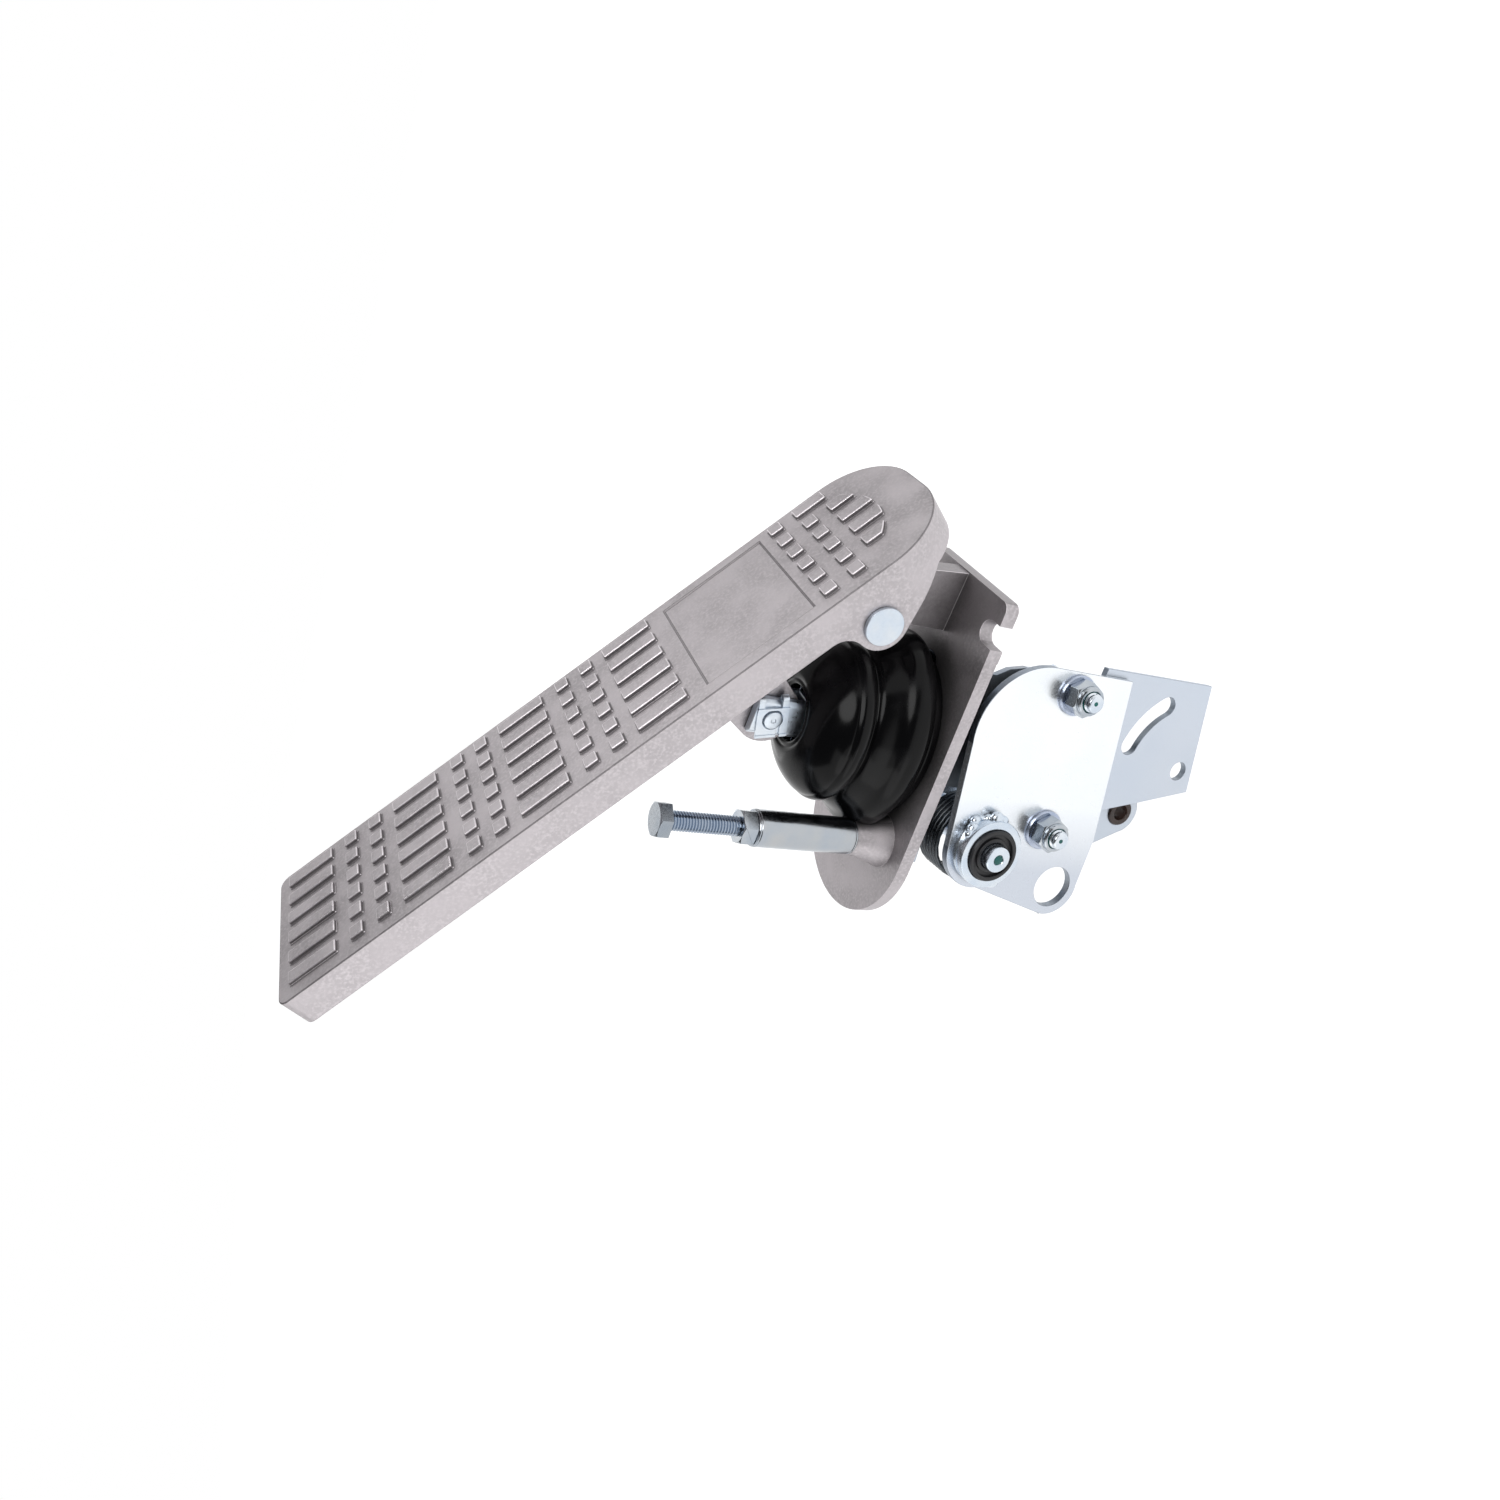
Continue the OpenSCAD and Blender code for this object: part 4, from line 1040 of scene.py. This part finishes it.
class PEDAL_OT_stage(bpy.types.Operator):
    """Camera, pale floor, white world and soft lights"""

    bl_idname = "pedal.stage"
    bl_label = "Stage"

    def execute(self, context):
        self.camera(context)
        self.world(context)
        self.floor()
        self.cards()
        self.lights()
        context.scene.view_settings.view_transform = "Standard"
        return {"FINISHED"}

    def camera(self, context):
        """The camera at the photograph's viewing angle."""
        setting = context.scene.pedal_camera
        data = bpy.data.cameras.new("Camera")
        data.lens = setting.lens
        data.sensor_width = setting.sensor
        data.shift_x, data.shift_y = setting.shift
        data.clip_start = 0.01
        data.clip_end = 20
        data.dof.use_dof = False
        right = Vector(setting.right).normalized()
        back = right.cross(Vector(setting.up)).normalized()
        up = back.cross(right)
        camera = bpy.data.objects.new("Camera", data)
        camera.matrix_world = (
            Matrix.Translation(setting.place) @ Matrix((right, up, back)).transposed().to_4x4()
        )
        context.scene.collection.objects.link(camera)
        context.scene.camera = camera

    def world(self, context):
        """A plain soft world that shows white."""
        world = bpy.data.worlds.new("Studio")
        world.use_nodes = True
        tree = world.node_tree
        plain = tree.nodes["Background"]
        plain.inputs["Color"].default_value = (0.96, 0.98, 1, 1)
        plain.inputs["Strength"].default_value = 0.3
        white = node(tree, "ShaderNodeBackground", Color=(1, 1, 1, 1), Strength=1.0)
        shown = self.chosen(tree, self.background_rays(tree), plain, white)
        tree.links.new(shown.outputs[0], tree.nodes["World Output"].inputs["Surface"])
        context.scene.world = world

    def background_rays(self, tree):
        """One for the rays that show the background: camera, glossy and transmission rays."""
        path = tree.nodes.new("ShaderNodeLightPath")
        found = path.outputs["Is Camera Ray"]
        for kind in ("Is Glossy Ray", "Is Transmission Ray"):
            either = tree.nodes.new("ShaderNodeMath")
            either.operation = "MAXIMUM"
            tree.links.new(found, either.inputs[0])
            tree.links.new(path.outputs[kind], either.inputs[1])
            found = either.outputs[0]
        return found

    def chosen(self, tree, factor, first, second):
        """The first shader where the factor is zero, the second where it is one."""
        made = tree.nodes.new("ShaderNodeMixShader")
        tree.links.new(factor, made.inputs[0])
        tree.links.new(first.outputs[0], made.inputs[1])
        tree.links.new(second.outputs[0], made.inputs[2])
        return made

    def floor(self):
        """A pale floor that keeps the pedal's shadow."""
        bpy.ops.object.select_all(action="DESELECT")
        bpy.ops.mesh.primitive_plane_add(size=8, location=(0, 0, cad_box[0].z - 2 * MM))
        floor = bpy.context.object
        floor.name = "Floor"
        apply_place(floor)
        material, tree, shader = new_material("Pale floor")
        shader.inputs["Base Color"].default_value = (0.4, 0.4, 0.4, 1)
        shader.inputs["Roughness"].default_value = 0.9
        glow = node(tree, "ShaderNodeEmission", Color=(1, 1, 1, 1), Strength=0.89)
        both = tree.nodes.new("ShaderNodeAddShader")
        tree.links.new(shader.outputs[0], both.inputs[0])
        tree.links.new(glow.outputs[0], both.inputs[1])
        shown = self.chosen(tree, self.background_rays(tree), shader, both)
        tree.links.new(shown.outputs[0], tree.nodes["Material Output"].inputs["Surface"])
        floor.data.materials.append(material)

    def cards(self):
        """Cards above, behind and before the pedal, which only its metal and rubber show."""
        for name, place, aim, size, strength in (
            ("Card_above", (0.2, -0.25, 1.5), (0.2, -0.25, 0), (4.5, 2.9), 0.06),
            ("Card_camera", (0.5, -1.5, 0.95), (0.5, 0, 0.95), (2.6, 1.7), 0.06),
            ("Card_back", (0.3, 2.2, 1.45), (0.3, 0, 1.45), (5.0, 2.5), 0.38),
        ):
            bpy.ops.object.select_all(action="DESELECT")
            bpy.ops.mesh.primitive_plane_add(size=1)
            card = bpy.context.object
            card.name = name
            turn = facing(place, aim, "Z").to_matrix().to_4x4()
            put(card, Matrix.Translation(place) @ turn @ Matrix.Diagonal((size[0], size[1], 1, 1)))
            material, tree, shader = new_material(name)
            shader.inputs["Base Color"].default_value = (0.05, 0.05, 0.05, 1)
            shader.inputs["Roughness"].default_value = 0.9
            shader.inputs["Emission Color"].default_value = (1, 1, 1, 1)
            shader.inputs["Emission Strength"].default_value = strength
            card.data.materials.append(material)
            for kind in ("camera", "diffuse", "transmission", "volume_scatter", "shadow"):
                setattr(card, "visible_" + kind, False)

    def lights(self):
        """Four round soft lights that face the pedal."""
        aim = (-0.05, 0, 0.03)
        for name, place, size, power in (
            ("Key", (0.47, -0.65, 0.74), 0.7, 4.5),
            ("Low", (-0.6, -0.9, 0.05), 0.8, 1.2),
            ("Top", (0.5, 0.5, 1.0), 0.9, 3.5),
            ("Back", (-0.5, 0.9, 0.3), 0.8, 1.5),
        ):
            lamp = bpy.data.lights.new(name, "AREA")
            lamp.shape = "ELLIPSE"
            lamp.size = size
            lamp.size_y = size
            lamp.energy = power
            light = bpy.data.objects.new(name, lamp)
            bpy.context.scene.collection.objects.link(light)
            light.location = place
            light.rotation_euler = facing(place, aim, "-Z").to_euler()


class PEDAL_PT_pieces(bpy.types.Panel):
    """Lists the pieces of the pedal and its settings"""

    bl_idname = "PEDAL_PT_pieces"
    bl_label = "Accelerator Pedal"
    bl_space_type = "VIEW_3D"
    bl_region_type = "UI"
    bl_category = "Pedal"

    def draw(self, context):
        column = self.layout.column()
        for operator in PIECES:
            column.operator(operator.bl_idname)
        for group in ("pedal_camera", "pedal_finish", "pedal_thread"):
            settings = getattr(context.scene, group)
            for key in settings.__annotations__:
                column.prop(settings, key)


PIECES = (
    PEDAL_OT_treadle,
    PEDAL_OT_base_plate,
    PEDAL_OT_hinge,
    PEDAL_OT_stop,
    PEDAL_OT_boot,
    PEDAL_OT_linkage,
    PEDAL_OT_lever,
    PEDAL_OT_bearings,
    PEDAL_OT_plates,
    PEDAL_OT_fasteners,
    PEDAL_OT_spring,
    PEDAL_OT_stage,
)
GROUPS = (PedalCamera, PedalFinish, PedalThread)
CLASSES = GROUPS + PIECES + (PEDAL_PT_pieces,)


def register():
    for cls in CLASSES:
        bpy.utils.register_class(cls)
    bpy.types.Scene.pedal_camera = bpy.props.PointerProperty(type=PedalCamera)
    bpy.types.Scene.pedal_finish = bpy.props.PointerProperty(type=PedalFinish)
    bpy.types.Scene.pedal_thread = bpy.props.PointerProperty(type=PedalThread)


def unregister():
    del bpy.types.Scene.pedal_thread
    del bpy.types.Scene.pedal_finish
    del bpy.types.Scene.pedal_camera
    for cls in reversed(CLASSES):
        bpy.utils.unregister_class(cls)


def main():
    """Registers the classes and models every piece."""
    register()
    for operator in PIECES:
        group, name = operator.bl_idname.split(".")
        getattr(getattr(bpy.ops, group), name)()


if __name__ == "__main__":
    main()
